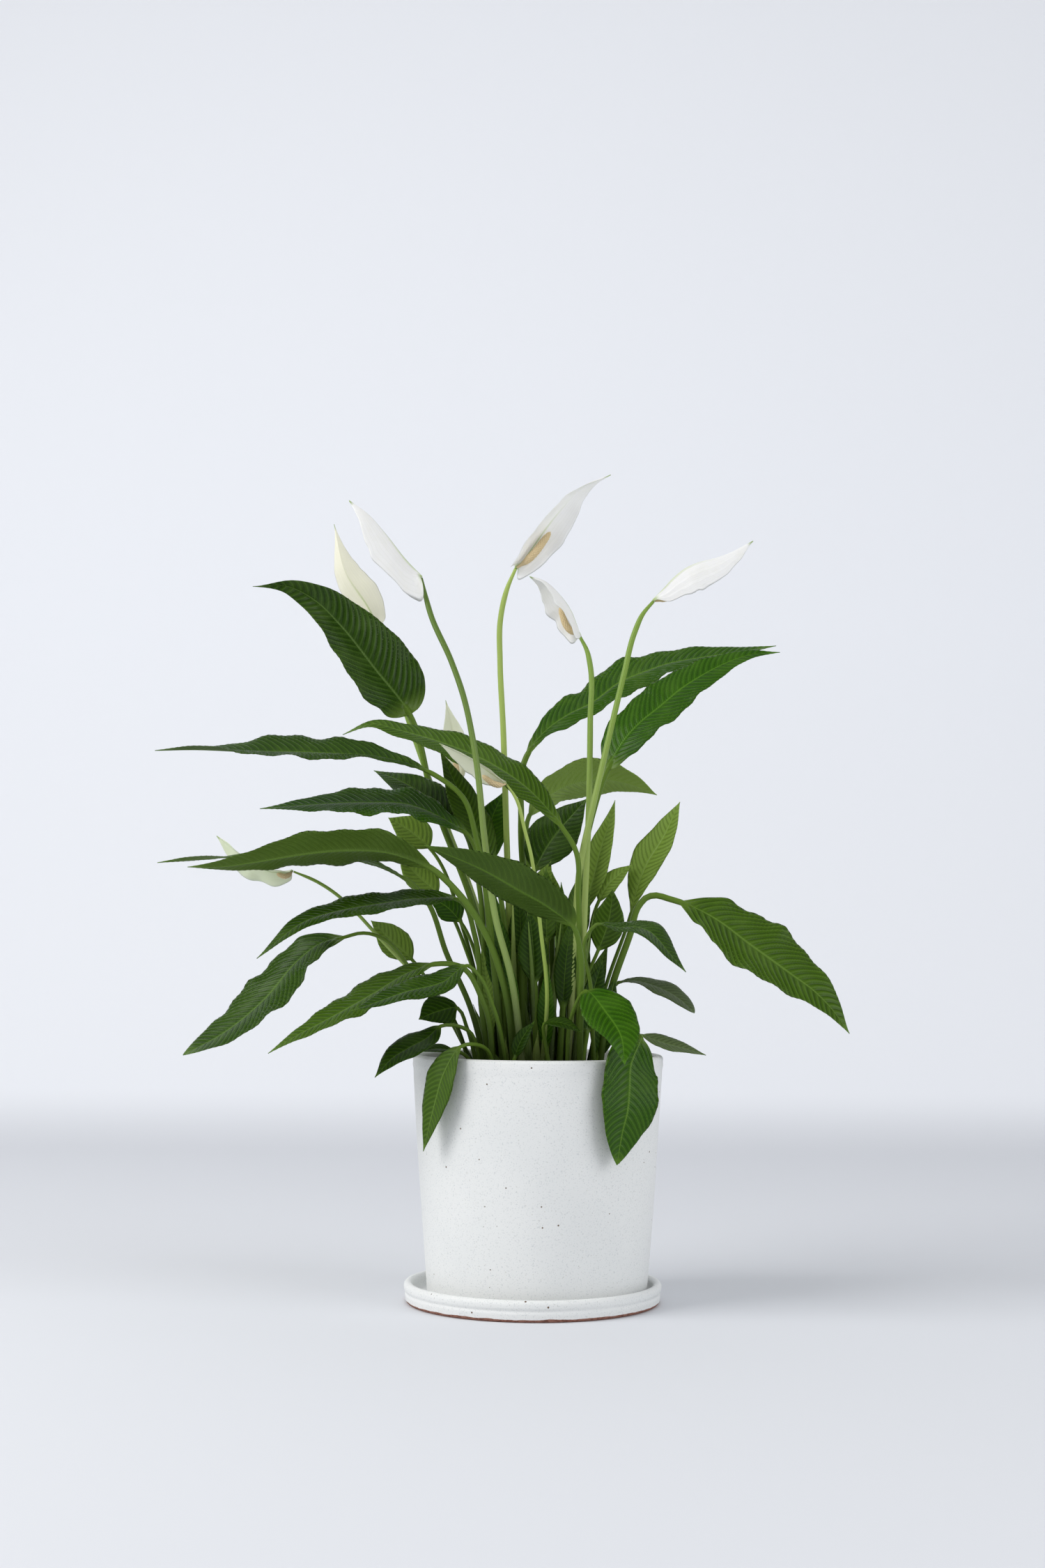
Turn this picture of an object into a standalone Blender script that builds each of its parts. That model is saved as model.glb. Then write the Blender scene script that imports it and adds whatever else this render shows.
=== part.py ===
"""A potted peace lily: stoneware pot and saucer, soil, leaves and flowers.

Metres, +Z up. The origin is the middle of the saucer's underside. The plant's routes are written in
millimetres from the origin's axis, with heights above the soil, so that they follow the pot.
"""

import math

import bmesh
import bpy
import numpy as np

MM = 0.001

# Pot: a tapered wall with a round rim and a drainage hole.
RIM_HEIGHT = 0.206
POT_RIM_RADIUS = 0.1058
POT_FOOT_RADIUS = 0.092
POT_BULGE = 0.0006
POT_WALL = 0.006
POT_FLOOR = 0.009
POT_FOOT_CHAMFER = 0.0015
DRAIN_RADIUS = 0.011

# Saucer: a flat dish with a round lip, a little larger than the pot's foot.
SAUCER_HEIGHT = 0.0175
SAUCER_FLOOR = 0.007
SAUCER_WALL = 0.007
SAUCER_ROOM = 0.009
SAUCER_FOOT_CHAMFER = 0.002
POT_SHIFT = 0.0035

# Soil and the clearance between pieces that touch.
SOIL_BELOW_RIM = 0.020
GAP = 0.0003

# Leaves and flowers.
BLADE_THICKNESS = 0.001
LARGE_PETIOLE = 0.0026
MEDIUM_PETIOLE = 0.0021
SMALL_PETIOLE = 0.0015
STALK_RADIUS = 0.0023
THIN_STALK_RADIUS = 0.0014
ROOT_SWELL = 1.25
SPADIX_RADIUS = 0.0032
SPADIX_LIFT = 0.0072
LEAF_PEAK = 0.4
SPATHE_PEAK = 0.4
TIP_POWER = 1.25

# Mesh fineness.
TURNS = 48
RIM_STEPS = 4
PETIOLE_RINGS = 9
STALK_RINGS = 14
BLADE_STATIONS = (0.0, 0.07, 0.18, 0.32, 0.48, 0.64, 0.79, 0.91, 1.0)
SPADIX_PROFILE = ((0.0, 0.3), (0.1, 0.45), (0.25, 1.0), (0.6, 1.0), (0.85, 0.85), (0.96, 0.5), (1.0, 0.2))

POT_BASE = SAUCER_FLOOR + GAP
SOIL_TOP = RIM_HEIGHT - SOIL_BELOW_RIM


def at_rim(angle, out, up):
    """A point beside the rim: degrees about the pot's axis, mm outward from the rim and mm above it."""
    turn = math.radians(angle)
    reach = (POT_RIM_RADIUS / MM) + out
    across = POT_SHIFT / MM + reach * math.cos(turn)
    return (across, reach * math.sin(turn), SOIL_BELOW_RIM / MM + up)


# Each leaf: where it leaves the soil (x, y), its petiole's points, its blade's points from base to tip
# (x, y, height above the soil), the blade's full width, the way its upper side faces where it is widest,
# how far each half folds up from the midrib in degrees, and how far along the blade is widest.
LEAVES = {
    "leaf_top_left": dict(
        root=(-26, 12), petiole=[(-48, 27, 130), (-90, 37, 243)],
        blade=[(-110, 40, 312), (-141, 37, 352), (-172, 28, 390), (-191, 20, 408), (-213, 10, 419),
               (-244, 2, 418)],
        width=74, up=(0.35, -0.85, 0.4), fold=30, stem=LARGE_PETIOLE, peak=0.3),
    "leaf_high_left": dict(
        root=(-24, -28), petiole=[(-36, -42, 110), (-49, -52, 200), (-60, -57, 233)],
        blade=[(-84, -58, 252), (-122, -60, 265), (-177, -62, 269), (-241, -64, 270), (-281, -66, 271),
               (-314, -66, 270)],
        width=58, up=(0.0, -0.40, 0.92), fold=18, stem=MEDIUM_PETIOLE, peak=0.48),
    "leaf_crossing": dict(
        root=(38, -31), petiole=[(37, -45, 87), (36, -49, 150), (33, -45, 192)],
        blade=[(22, -40, 210), (-6, -36, 242), (-40, -32, 265), (-67, -29, 277), (-116, -26, 292),
               (-138, -25, 297), (-163, -24, 288)],
        width=50, up=(0.0, -0.47, 0.88), fold=6, stem=MEDIUM_PETIOLE),
    "leaf_bright_left": dict(
        root=(-25, -14), petiole=[(-34, -22, 90), (-44, -28, 170)],
        blade=[(-56, -31, 203), (-75, -32, 216), (-108, -34, 229), (-141, -36, 230), (-197, -38, 227),
               (-230, -40, 224)],
        width=62, up=(0.0, -0.42, 0.9), fold=6, stem=MEDIUM_PETIOLE),
    "leaf_dark_left": dict(
        root=(-37, 7), petiole=[(-42, 6, 100), (-50, 2, 175)],
        blade=[(-60, 0, 208), (-90, 4, 236), (-116, 16, 252), (-140, 30, 262)],
        width=50, up=(0.2, -0.55, 0.8), fold=6, stem=MEDIUM_PETIOLE),
    "leaf_front_left": dict(
        root=(-15, -37), petiole=[(-25, -50, 78), (-40, -60, 120), (-63, -66, 154)],
        blade=[(-85, -70, 174), (-115, -75, 186), (-158, -82, 188), (-191, -90, 184), (-224, -96, 178),
               (-250, -99, 174), (-280, -102, 173)],
        width=56, up=(0.0, 0.5, 0.87), fold=14, stem=LARGE_PETIOLE),
    "leaf_thread_left": dict(
        root=(-38, -8), petiole=[(-54, -10, 60), (-74, -12, 104), (-92, -17, 150)],
        blade=[(-105, -20, 164), (-132, -25, 178), (-162, -33, 186), (-196, -40, 187), (-237, -47, 184),
               (-287, -54, 181), (-312, -56, 178)],
        width=38, up=(0.0, -0.3, 0.95), fold=4, stem=MEDIUM_PETIOLE, peak=0.45),
    "leaf_middle_left": dict(
        root=(-36, -22), petiole=[(-44, -32, 60), (-50, -40, 120)],
        blade=[(-60, -46, 147), (-94, -56, 150), (-122, -64, 146), (-156, -74, 140), (-185, -84, 131),
               (-223, -104, 100)],
        width=48, up=(-0.2, -0.4, 0.9), fold=6, stem=MEDIUM_PETIOLE),
    "leaf_droop_left": dict(
        root=(-50, -6), petiole=[(-72, -10, 56), (-100, -14, 86), (-130, -19, 118), (-140, -21, 121),
                                 (-147, -22, 121)],
        blade=[(-158, -24, 118), (-178, -28, 113), (-197, -34, 98), (-222, -46, 67), (-254, -60, 39),
               (-286, -70, 21)],
        width=64, up=(-0.45, -0.5, 0.74), fold=8, stem=SMALL_PETIOLE, peak=0.48, tip=0.85),
    "leaf_small_light": dict(
        root=(-46, 18), petiole=[(-80, 20, 62)],
        blade=[(-105, 21, 99), (-124, 20, 116), (-140, 14, 132)],
        width=34, up=(0.4, -0.75, 0.5), fold=10, stem=SMALL_PETIOLE),
    "leaf_long_low_left": dict(
        root=(-33, -40), petiole=[(-42, -46, 64), (-61, -52, 94)],
        blade=[(-82, -58, 96), (-99, -62, 91), (-133, -72, 71), (-166, -82, 52), (-197, -90, 35),
               (-214, -94, 24)],
        width=48, up=(-0.25, -0.4, 0.87), fold=6, stem=MEDIUM_PETIOLE),
    "leaf_dark_low_left": dict(
        root=(-20, -49), petiole=[(-34, -68, 62), (-46, -80, 88)],
        blade=[(-54, -85, 95), (-74, -92, 82), (-104, -100, 74), (-126, -108, 66), (-146, -114, 59)],
        width=40, up=(-0.2, -0.45, 0.87), fold=6, stem=SMALL_PETIOLE),
    "leaf_round_low_left": dict(
        root=(-46, -18), petiole=[(-56, -22, 42)],
        blade=[(-64, -25, 59), (-80, -30, 56.5), (-96, -36, 50)],
        width=38, up=(-0.3, -0.7, 0.6), fold=4, stem=SMALL_PETIOLE),
    "leaf_rim_left": dict(
        root=(-42, -30), petiole=[(-56, -40, 42)],
        blade=[(-77, -50, 45), at_rim(211, 2, 15), at_rim(210, 16, 8), at_rim(208.5, 29, 0),
               at_rim(208, 45, -16)],
        width=32, up=(-0.3, -0.6, 0.75), fold=6, stem=SMALL_PETIOLE),
    "leaf_over_rim_left": dict(
        root=(-31, -51), petiole=[(-40, -69, 28)],
        blade=[at_rim(234.5, 3, 10), at_rim(227.5, 8, -12), at_rim(223.5, 9, -34), at_rim(221, 11, -54),
               at_rim(218.5, 13, -75)],
        width=30, up=(-0.65, -0.75, 0.1), fold=8, stem=SMALL_PETIOLE),
    "leaf_over_rim_right": dict(
        root=(57, -24), petiole=[(74, -48, 34)],
        blade=[at_rim(319, 4, 18), at_rim(311, 7, -6), at_rim(309.5, 9, -24), at_rim(308, 10, -41),
               at_rim(306, 9, -56), at_rim(303.5, 8, -83)],
        width=54, up=(0.5, -0.85, 0.1), fold=6, stem=MEDIUM_PETIOLE, peak=0.42, tip=0.95),
    "leaf_bright_right": dict(
        root=(27, -49), petiole=[(31, -60, 56)],
        blade=[(41, -75, 75), at_rim(300.5, 2, 37), at_rim(301.5, 19, 20), at_rim(299.7, 31, -2)],
        width=46, up=(0.25, -0.75, 0.6), fold=12, stem=SMALL_PETIOLE),
    "leaf_small_dark": dict(
        root=(16, -53), petiole=[(8, -60, 38)],
        blade=[(8, -67, 48), (22, -74, 49), (38, -80, 42)],
        width=16, up=(0.1, -0.5, 0.85), fold=8, stem=SMALL_PETIOLE),
    "leaf_pale_right": dict(
        root=(52, 22), petiole=[(62, 26, 58)],
        blade=[(72, 27, 80), (83, 26, 82), (105, 22, 77), (125, 18, 66), (137, 14, 55)],
        width=30, up=(0.2, -0.4, 0.9), fold=8, stem=SMALL_PETIOLE, peak=0.6, tip=0.7),
    "leaf_rim_right": dict(
        root=(62, -12), petiole=[(78, -18, 32)],
        blade=[(90, -20, 37), at_rim(348.5, -5, 13), at_rim(350, 6, 9.5), at_rim(351, 18, 6.5),
               at_rim(352, 36, 1)],
        width=24, up=(0.1, -0.45, 0.9), fold=6, stem=SMALL_PETIOLE),
    "leaf_big_right": dict(
        root=(54, -1), petiole=[(66, -2, 78), (81, -6, 122), (89, -8, 147), (95, -9, 153),
                                (103, -11, 154.5), (112, -13, 152)],
        blade=[(122, -15, 149), (139, -20, 142), (157, -26, 131), (176, -32, 116), (195, -37, 102),
               (214, -42, 88), (229, -46, 77), (243, -50, 63), (259, -54, 41)],
        width=72, up=(0.3, -0.68, 0.68), fold=14, stem=LARGE_PETIOLE, peak=0.42),
    "leaf_glossy_right": dict(
        root=(50, -34), petiole=[(46, -52, 80), (42, -62, 118)],
        blade=[(50, -65, 129), (68, -68, 127), (84, -75, 127), (94, -79, 123), (101, -82, 116),
               (108, -85, 107), (122, -88, 91)],
        width=31, up=(0.1, -0.4, 0.9), fold=8, stem=SMALL_PETIOLE, peak=0.45),
    "leaf_upright_right": dict(
        root=(44, 10), petiole=[(62, 12, 80)],
        blade=[(82, 12, 138), (88, 12, 161), (96, 12, 182), (109, 10, 203), (124, 8, 235)],
        width=34, up=(-0.6, -0.75, 0.2), fold=16, stem=SMALL_PETIOLE, peak=0.52),
    "leaf_top_right": dict(
        root=(4, 22), petiole=[(-4, 44, 120), (-12, 49, 220)],
        blade=[(-8, 50, 276), (4, 52, 295), (26, 56, 313), (50, 62, 326), (75, 68, 345), (97, 72, 355),
               (119, 76, 363), (148, 80, 369), (179, 80, 374), (215, 80, 380)],
        width=64, up=(-0.15, -0.45, 0.87), fold=8, stem=LARGE_PETIOLE, peak=0.45),
    "leaf_second_right": dict(
        root=(24, 4), petiole=[(34, 6, 120), (48, 10, 220)],
        blade=[(62, 12, 263), (75, 14, 287), (89, 17, 303), (107, 20, 318), (127, 24, 335), (147, 27, 348),
               (166, 30, 358), (185, 32, 365), (213, 34, 368)],
        width=52, up=(-0.35, -0.72, 0.6), fold=10, stem=LARGE_PETIOLE, peak=0.33),
    "leaf_light_back": dict(
        root=(14, 36), petiole=[(6, 66, 110), (-6, 78, 190)],
        blade=[(-5, 80, 226), (20, 84, 250), (56, 90, 260), (90, 96, 255), (110, 100, 247)],
        width=62, up=(0.0, 0.5, 0.87), fold=8, stem=MEDIUM_PETIOLE),
    "leaf_dark_middle": dict(
        root=(6, 8), petiole=[(-4, 14, 90)],
        blade=[(0, 22, 176), (9, 26, 194), (20, 29, 210), (32, 32, 224), (45, 34, 239)],
        width=46, up=(-0.3, -0.9, 0.3), fold=10, stem=MEDIUM_PETIOLE),
    "leaf_front_centre": dict(
        root=(37, -42), petiole=[(38, -62, 70), (37, -78, 106)],
        blade=[(31, -89, 127), (12, -99, 142), (-12, -109, 155), (-43, -116, 172), (-71, -118, 184),
               (-89, -118, 191)],
        width=56, up=(0.1, 0.5, 0.85), fold=12, stem=MEDIUM_PETIOLE),
    "leaf_upright_middle": dict(
        root=(34, 16), petiole=[(38, 18, 80)],
        blade=[(42, 19, 140), (51, 19, 172), (57, 20, 196), (64, 20, 217), (69, 22, 237)],
        width=26, up=(-0.5, -0.85, 0.1), fold=14, stem=SMALL_PETIOLE),
    "leaf_upright_left": dict(
        root=(-12, -14), petiole=[(-22, -12, 100)],
        blade=[(-36, -10, 180), (-58, -3, 226), (-82, 6, 278)],
        width=34, up=(0.5, -0.8, 0.2), fold=14, stem=MEDIUM_PETIOLE),
    "leaf_back_left": dict(
        root=(-26, 40), petiole=[(-40, 78, 150)],
        blade=[(-54, 98, 205), (-88, 136, 236), (-128, 170, 236)],
        width=50, up=(0.0, 0.2, 1.0), fold=16, stem=MEDIUM_PETIOLE),
    "leaf_back_right": dict(
        root=(10, 50), petiole=[(12, 90, 100)],
        blade=[(14, 116, 132), (18, 172, 142), (22, 236, 108)],
        width=56, up=(0.0, 0.2, 1.0), fold=18, stem=MEDIUM_PETIOLE),
    "leaf_over_rim_back": dict(
        root=(-10, 50), petiole=[(-14, 76, 34)],
        blade=[at_rim(98, 3, 14), at_rim(100, 16, -8), at_rim(102, 18, -42), at_rim(104, 14, -80)],
        width=44, up=(-0.15, 1.0, 0.1), fold=10, stem=SMALL_PETIOLE),
}

# Each flower: where its stalk leaves the soil, the stalk's points, the spathe's points from just past
# the stalk's end to its tip, its full width, the way it opens, its fold and its spadix.
FLOWERS = {
    "flower_tall_left": dict(
        root=(-8, -47),
        stalk=[(-20, -56, 88), (-32, -64, 132), (-42, -72, 200), (-50, -72, 268), (-61, -66, 319),
               (-71, -60, 347), (-88, -52, 385), (-97, -46, 418)],
        spathe=[(-109, -48, 431), (-127, -49, 454), (-142, -49, 471), (-158, -48, 483)],
        width=46, opens=(-0.72, 0.1, -0.69), fold=44, spadix=34, radius=STALK_RADIUS),
    "flower_cream_left": dict(
        root=(-22, 27),
        stalk=[(-46, 42, 130), (-89, 58, 245), (-112, 64, 309), (-131, 66, 364), (-138, 66, 391)],
        spathe=[(-151, 62, 413), (-168, 60, 438), (-180, 62, 484)],
        width=34, opens=(0.2, 0.95, 0.1), fold=26, spadix=36, radius=STALK_RADIUS),
    "flower_top_centre": dict(
        root=(-13, -1),
        stalk=[(-20, 4, 100), (-24, 8, 193), (-28, 8, 298), (-31, 2, 355), (-31, -4, 388), (-25, -10, 416),
               (-18, -14, 432)],
        spathe=[(-11, -11, 441), (-2, -9, 454), (9, -8, 470), (20, -8, 484), (31, -9, 496), (42, -10, 505),
                (63, -12, 514)],
        width=35, opens=(0.55, -0.75, -0.35), fold=28, spadix=42, radius=STALK_RADIUS),
    "flower_centre": dict(
        root=(37, -18),
        stalk=[(42, -22, 147), (45, -22, 224), (46, -21, 300), (46, -18, 348), (43, -16, 362),
               (37, -14, 374)],
        spathe=[(34, -13, 383), (29, -13, 396), (19, -15, 410), (6, -18, 421), (-6, -22, 424)],
        width=32, opens=(-0.7, -0.4, -0.6), fold=44, spadix=28, radius=STALK_RADIUS),
    "flower_right": dict(
        root=(28, -21),
        stalk=[(33, -29, 100), (38, -34, 181), (48, -34, 228), (56, -32, 263), (65, -30, 302),
               (74, -28, 340), (83, -26, 376), (90, -25, 392), (99, -24, 403)],
        spathe=[(107, -24, 412), (117, -25, 423), (127, -26, 431), (138, -26, 436), (149, -25, 439),
                (160, -23, 443), (184, -20, 456)],
        width=40, opens=(0.2, 0.45, -0.85), fold=46, spadix=36, radius=STALK_RADIUS),
    "flower_small_back": dict(
        root=(-10, 16),
        stalk=[(-28, 40, 120), (-60, 49, 218), (-68, 50, 250)],
        spathe=[(-70, 53, 269), (-73, 54, 297), (-79, 50, 326)],
        width=26, opens=(0.1, -1.0, 0.1), fold=26, spadix=24, radius=THIN_STALK_RADIUS),
    "flower_folded": dict(
        root=(5, -49),
        stalk=[(10, -54, 77), (5, -57, 122), (0, -60, 163), (-3, -60, 183), (-9, -58, 207), (-17, -58, 234),
               (-24, -58, 244)],
        spathe=[(-36, -58, 253), (-56, -58, 266), (-80, -58, 278)],
        width=22, opens=(-0.2, -0.6, -0.75), fold=30, spadix=20, radius=THIN_STALK_RADIUS),
    "flower_faded": dict(
        root=(-49, 6),
        stalk=[(-78, 5, 64), (-111, 3, 96), (-136, 2, 122), (-153, 1, 140), (-170, 0, 155), (-186, -1, 165),
               (-205, -3, 173)],
        spathe=[(-224, -4, 173), (-249, -5, 186), (-271, -2, 203)],
        width=30, opens=(-0.1, -0.5, -0.85), fold=24, spadix=12, radius=THIN_STALK_RADIUS),
}

LEAF_GREEN = (0.035, 0.10, 0.012)
STALK_GREEN = (0.30, 0.42, 0.09)
SPATHE_WHITE = (0.78, 0.79, 0.70)
SPADIX_TAN = (0.66, 0.52, 0.30)
GLAZE_WHITE = (0.76, 0.77, 0.75)
SOIL_BROWN = (0.045, 0.028, 0.018)


def clear_scene():
    for item in list(bpy.data.objects):
        bpy.data.objects.remove(item, do_unlink=True)


def material(name, colour, roughness):
    """A plain Principled material."""
    made = bpy.data.materials.new(name)
    made.use_nodes = True
    shader = made.node_tree.nodes["Principled BSDF"]
    shader.inputs["Base Color"].default_value = (*colour, 1.0)
    shader.inputs["Roughness"].default_value = roughness
    return made


def add_object(name, mesh, colour, roughness, parent):
    """Links a smooth-shaded mesh under its node's name, with a material of its own."""
    mesh.shade_smooth()
    mesh.materials.append(material(name, colour, roughness))
    made = bpy.data.objects.new(name, mesh)
    bpy.context.scene.collection.objects.link(made)
    made.parent = parent
    return made


def turned(name, outline, closed, centre_x):
    """A mesh turned about an upright axis from (radius, height) points, listed anticlockwise."""
    body = bmesh.new()
    verts = [body.verts.new((centre_x + r, 0.0, z)) for r, z in outline]
    pairs = list(zip(verts, verts[1:]))
    if closed:
        pairs.append((verts[-1], verts[0]))
    edges = [body.edges.new(pair) for pair in pairs]
    bmesh.ops.spin(
        body, geom=verts + edges, cent=(centre_x, 0.0, 0.0), axis=(0.0, 0.0, 1.0),
        angle=2.0 * math.pi, steps=TURNS, use_merge=True)
    bmesh.ops.remove_doubles(body, verts=body.verts, dist=1e-6)
    bmesh.ops.recalc_face_normals(body, faces=body.faces)
    mesh = bpy.data.meshes.new(name)
    body.to_mesh(mesh)
    body.free()
    return mesh


def round_edge(radius, height, size):
    """Points over the top of a wall's half-round edge, from its outer to its inner side."""
    steps = np.linspace(0.0, math.pi, RIM_STEPS + 1)
    return [(radius + size * math.cos(a), height + size * math.sin(a)) for a in steps]


def pot_wall_radius(height):
    """The outer radius of the straight taper from foot to rim."""
    share = (height - POT_BASE) / (RIM_HEIGHT - POT_BASE)
    return POT_FOOT_RADIUS + (POT_RIM_RADIUS - POT_FOOT_RADIUS) * share


def pot_mesh():
    half = POT_WALL / 2.0
    rim_base = RIM_HEIGHT - half
    floor_top = POT_BASE + POT_FLOOR
    middle = (POT_BASE + RIM_HEIGHT) / 2.0
    outline = [
        (DRAIN_RADIUS, POT_BASE),
        (POT_FOOT_RADIUS - POT_FOOT_CHAMFER, POT_BASE),
        (pot_wall_radius(POT_BASE + POT_FOOT_CHAMFER), POT_BASE + POT_FOOT_CHAMFER),
        (pot_wall_radius(middle) + POT_BULGE, middle),
        *round_edge(pot_wall_radius(rim_base) - half, rim_base, half),
        (pot_wall_radius(floor_top) - POT_WALL, floor_top),
        (DRAIN_RADIUS, floor_top),
    ]
    return turned("ceramic_pot", outline, True, POT_SHIFT)


def saucer_mesh():
    half = SAUCER_WALL / 2.0
    inner = POT_FOOT_RADIUS + SAUCER_ROOM
    outer = inner + SAUCER_WALL
    lip_base = SAUCER_HEIGHT - half
    outline = [
        (0.0, 0.0),
        (outer - SAUCER_FOOT_CHAMFER, 0.0),
        (outer, SAUCER_FOOT_CHAMFER),
        *round_edge(outer - half, lip_base, half),
        (inner, SAUCER_FLOOR),
        (0.0, SAUCER_FLOOR),
    ]
    return turned("drip_saucer", outline, False, 0.0)


def soil_mesh():
    """Soil from the pot's floor to its top, one gap inside the wall."""
    bottom = POT_BASE + POT_FLOOR + GAP
    clear = POT_WALL + GAP
    outline = [
        (0.0, bottom),
        (pot_wall_radius(bottom) - clear, bottom),
        (pot_wall_radius(SOIL_TOP) - clear, SOIL_TOP),
        (0.0, SOIL_TOP),
    ]
    return turned("potting_soil", outline, False, POT_SHIFT)


def grown(points):
    """Millimetre points on the plant as metres in the part's frame."""
    return np.array(points, float) * MM + (0.0, 0.0, SOIL_TOP)


def rooted(root, points):
    """A route that starts one gap above the soil."""
    return [(*root, GAP / MM), *points]


class Route:
    """A smooth curve through points, read by length, with a frame that turns as little as it can."""

    STEPS = 24

    def __init__(self, points, up, up_at):
        points = np.asarray(points, float)
        spans = np.linalg.norm(np.diff(points, axis=0), axis=1)
        knots = np.concatenate([[0.0], np.cumsum(spans)])
        slopes = np.gradient(points, knots, axis=0)
        fine = []
        for k, span in enumerate(spans):
            t = np.linspace(0.0, 1.0, self.STEPS, endpoint=False)[:, None]
            fine.append(
                points[k] * (2 * t**3 - 3 * t**2 + 1) + points[k + 1] * (3 * t**2 - 2 * t**3)
                + span * slopes[k] * (t**3 - 2 * t**2 + t) + span * slopes[k + 1] * (t**3 - t**2))
        self.places = np.vstack(fine + [points[-1:]])
        steps = np.linalg.norm(np.diff(self.places, axis=0), axis=1)
        self.lengths = np.concatenate([[0.0], np.cumsum(steps)])
        ahead = np.gradient(self.places, self.lengths, axis=0)
        self.ahead = ahead / np.linalg.norm(ahead, axis=1)[:, None]
        self.normals = np.zeros_like(self.places)
        start = int(np.searchsorted(self.lengths, up_at * self.lengths[-1]))
        self.normals[start] = self.square(np.asarray(up, float), start)
        for k in range(start + 1, len(self.places)):
            self.normals[k] = self.square(self.normals[k - 1], k)
        for k in range(start - 1, -1, -1):
            self.normals[k] = self.square(self.normals[k + 1], k)

    def square(self, vector, k):
        """The vector made square to the curve at fine point k."""
        flat = vector - vector.dot(self.ahead[k]) * self.ahead[k]
        return flat / np.linalg.norm(flat)

    def length_at(self, knot):
        return self.lengths[knot * self.STEPS]

    def frame(self, length):
        """The place, side and normal at a length."""
        read = [np.array([np.interp(length, self.lengths, rows[:, i]) for i in range(3)])
                for rows in (self.places, self.ahead, self.normals)]
        side = np.cross(read[2], read[1])
        side /= np.linalg.norm(side)
        return read[0], side, np.cross(read[1], side) / np.linalg.norm(np.cross(read[1], side))


def skin(name, rings):
    """One closed body through rings of equally many points, each anticlockwise about the way ahead."""
    count = len(rings[0])
    verts = np.vstack(rings)
    faces = [list(range(count))[::-1]]
    for j in range(len(rings) - 1):
        for k in range(count):
            here, there = j * count + k, j * count + (k + 1) % count
            faces.append([here, there, there + count, here + count])
    faces.append([len(verts) - count + k for k in range(count)])
    mesh = bpy.data.meshes.new(name)
    mesh.from_pydata(verts.tolist(), [], faces)
    return mesh


def round_ring(route, length, radius):
    """Eight points round the route."""
    place, side, normal = route.frame(length)
    return [place + radius * (math.cos(a) * side + math.sin(a) * normal)
            for a in np.arange(8) * math.pi / 4.0]


def foot_ring(route, radius):
    """The route's first ring, cut level with the soil."""
    ring = np.array(round_ring(route, 0.0, radius))
    ring[:, 2] = route.places[0, 2]
    return ring


def blade_outline(s, peak, tip):
    """Half-width along a blade as a share of its largest, which is at the peak."""
    power = tip * peak / (1.0 - peak)
    return s**power * (1.0 - s) ** tip / (peak**power * (1.0 - peak) ** tip)


def blade_ring(route, length, s, half_width, peak, tip, fold, curl, stem):
    """Eight points round a folded sheet with a midrib that thins from the stem's radius."""
    place, side, normal = route.frame(length)
    sheet = BLADE_THICKNESS / 2.0
    fade = max(0.0, 1.0 - s / BLADE_STATIONS[2])
    wide = math.hypot(half_width * blade_outline(s, peak, tip), stem * (1.0 - s)) + sheet * s
    rib = max(sheet * 1.3, stem * (1.0 - s) ** 2) * (1.0 - 0.5 * s**4)
    web = sheet * (1.0 - 0.4 * s**4) + (0.7 * stem - sheet) * fade
    bend = math.radians(fold) * (1.0 - fade) * (1.0 - s**6)
    inner = np.array([math.cos(bend), math.sin(bend)]) * wide / 2.0
    outer = inner + np.array([math.cos(bend * curl), math.sin(bend * curl)]) * wide / 2.0
    flat = [
        (outer[0], outer[1]), (inner[0], inner[1] + web), (0.0, rib), (-inner[0], inner[1] + web),
        (-outer[0], outer[1]), (-inner[0], inner[1] - web), (0.0, -rib), (inner[0], inner[1] - web)]
    return [place + u * side + v * normal for u, v in flat]


def leaf_mesh(name, root, petiole, blade, width, up, fold, stem, peak=LEAF_PEAK, tip=TIP_POWER):
    """A petiole that widens into a blade, as one body."""
    points = grown(rooted(root, [*petiole, *blade]))
    base_knot = 1 + len(petiole)
    probe = Route(points, up, 1.0)
    base, end = probe.length_at(base_knot), probe.lengths[-1]
    route = Route(points, up, (base + 0.4 * (end - base)) / end)
    rings = [foot_ring(route, stem * ROOT_SWELL)]
    for share in np.linspace(0.0, 1.0, PETIOLE_RINGS, endpoint=False)[1:]:
        swell = 1.0 + (ROOT_SWELL - 1.0) * (1.0 - share)
        rings.append(round_ring(route, share * base, stem * swell))
    for s in BLADE_STATIONS:
        rings.append(blade_ring(
            route, base + s * (end - base), s, width * MM / 2.0, peak, tip, fold, 0.5, stem))
    return skin(name, rings)


def stalk_mesh(name, route, radius):
    rings = [foot_ring(route, radius * ROOT_SWELL)]
    for share in np.linspace(0.0, 1.0, STALK_RINGS)[1:]:
        swell = 1.0 + (ROOT_SWELL - 1.0) * (1.0 - share)
        rings.append(round_ring(route, share * route.lengths[-1], radius * swell))
    return skin(name, rings)


def spathe_mesh(name, route, width, fold, stem):
    """The hood: a cupped sheet from the stalk's end to its tip."""
    rings = []
    for s in BLADE_STATIONS:
        rings.append(blade_ring(
            route, s * route.lengths[-1], s, width * MM / 2.0, SPATHE_PEAK, TIP_POWER, fold, 1.5, stem))
    return skin(name, rings)


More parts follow.
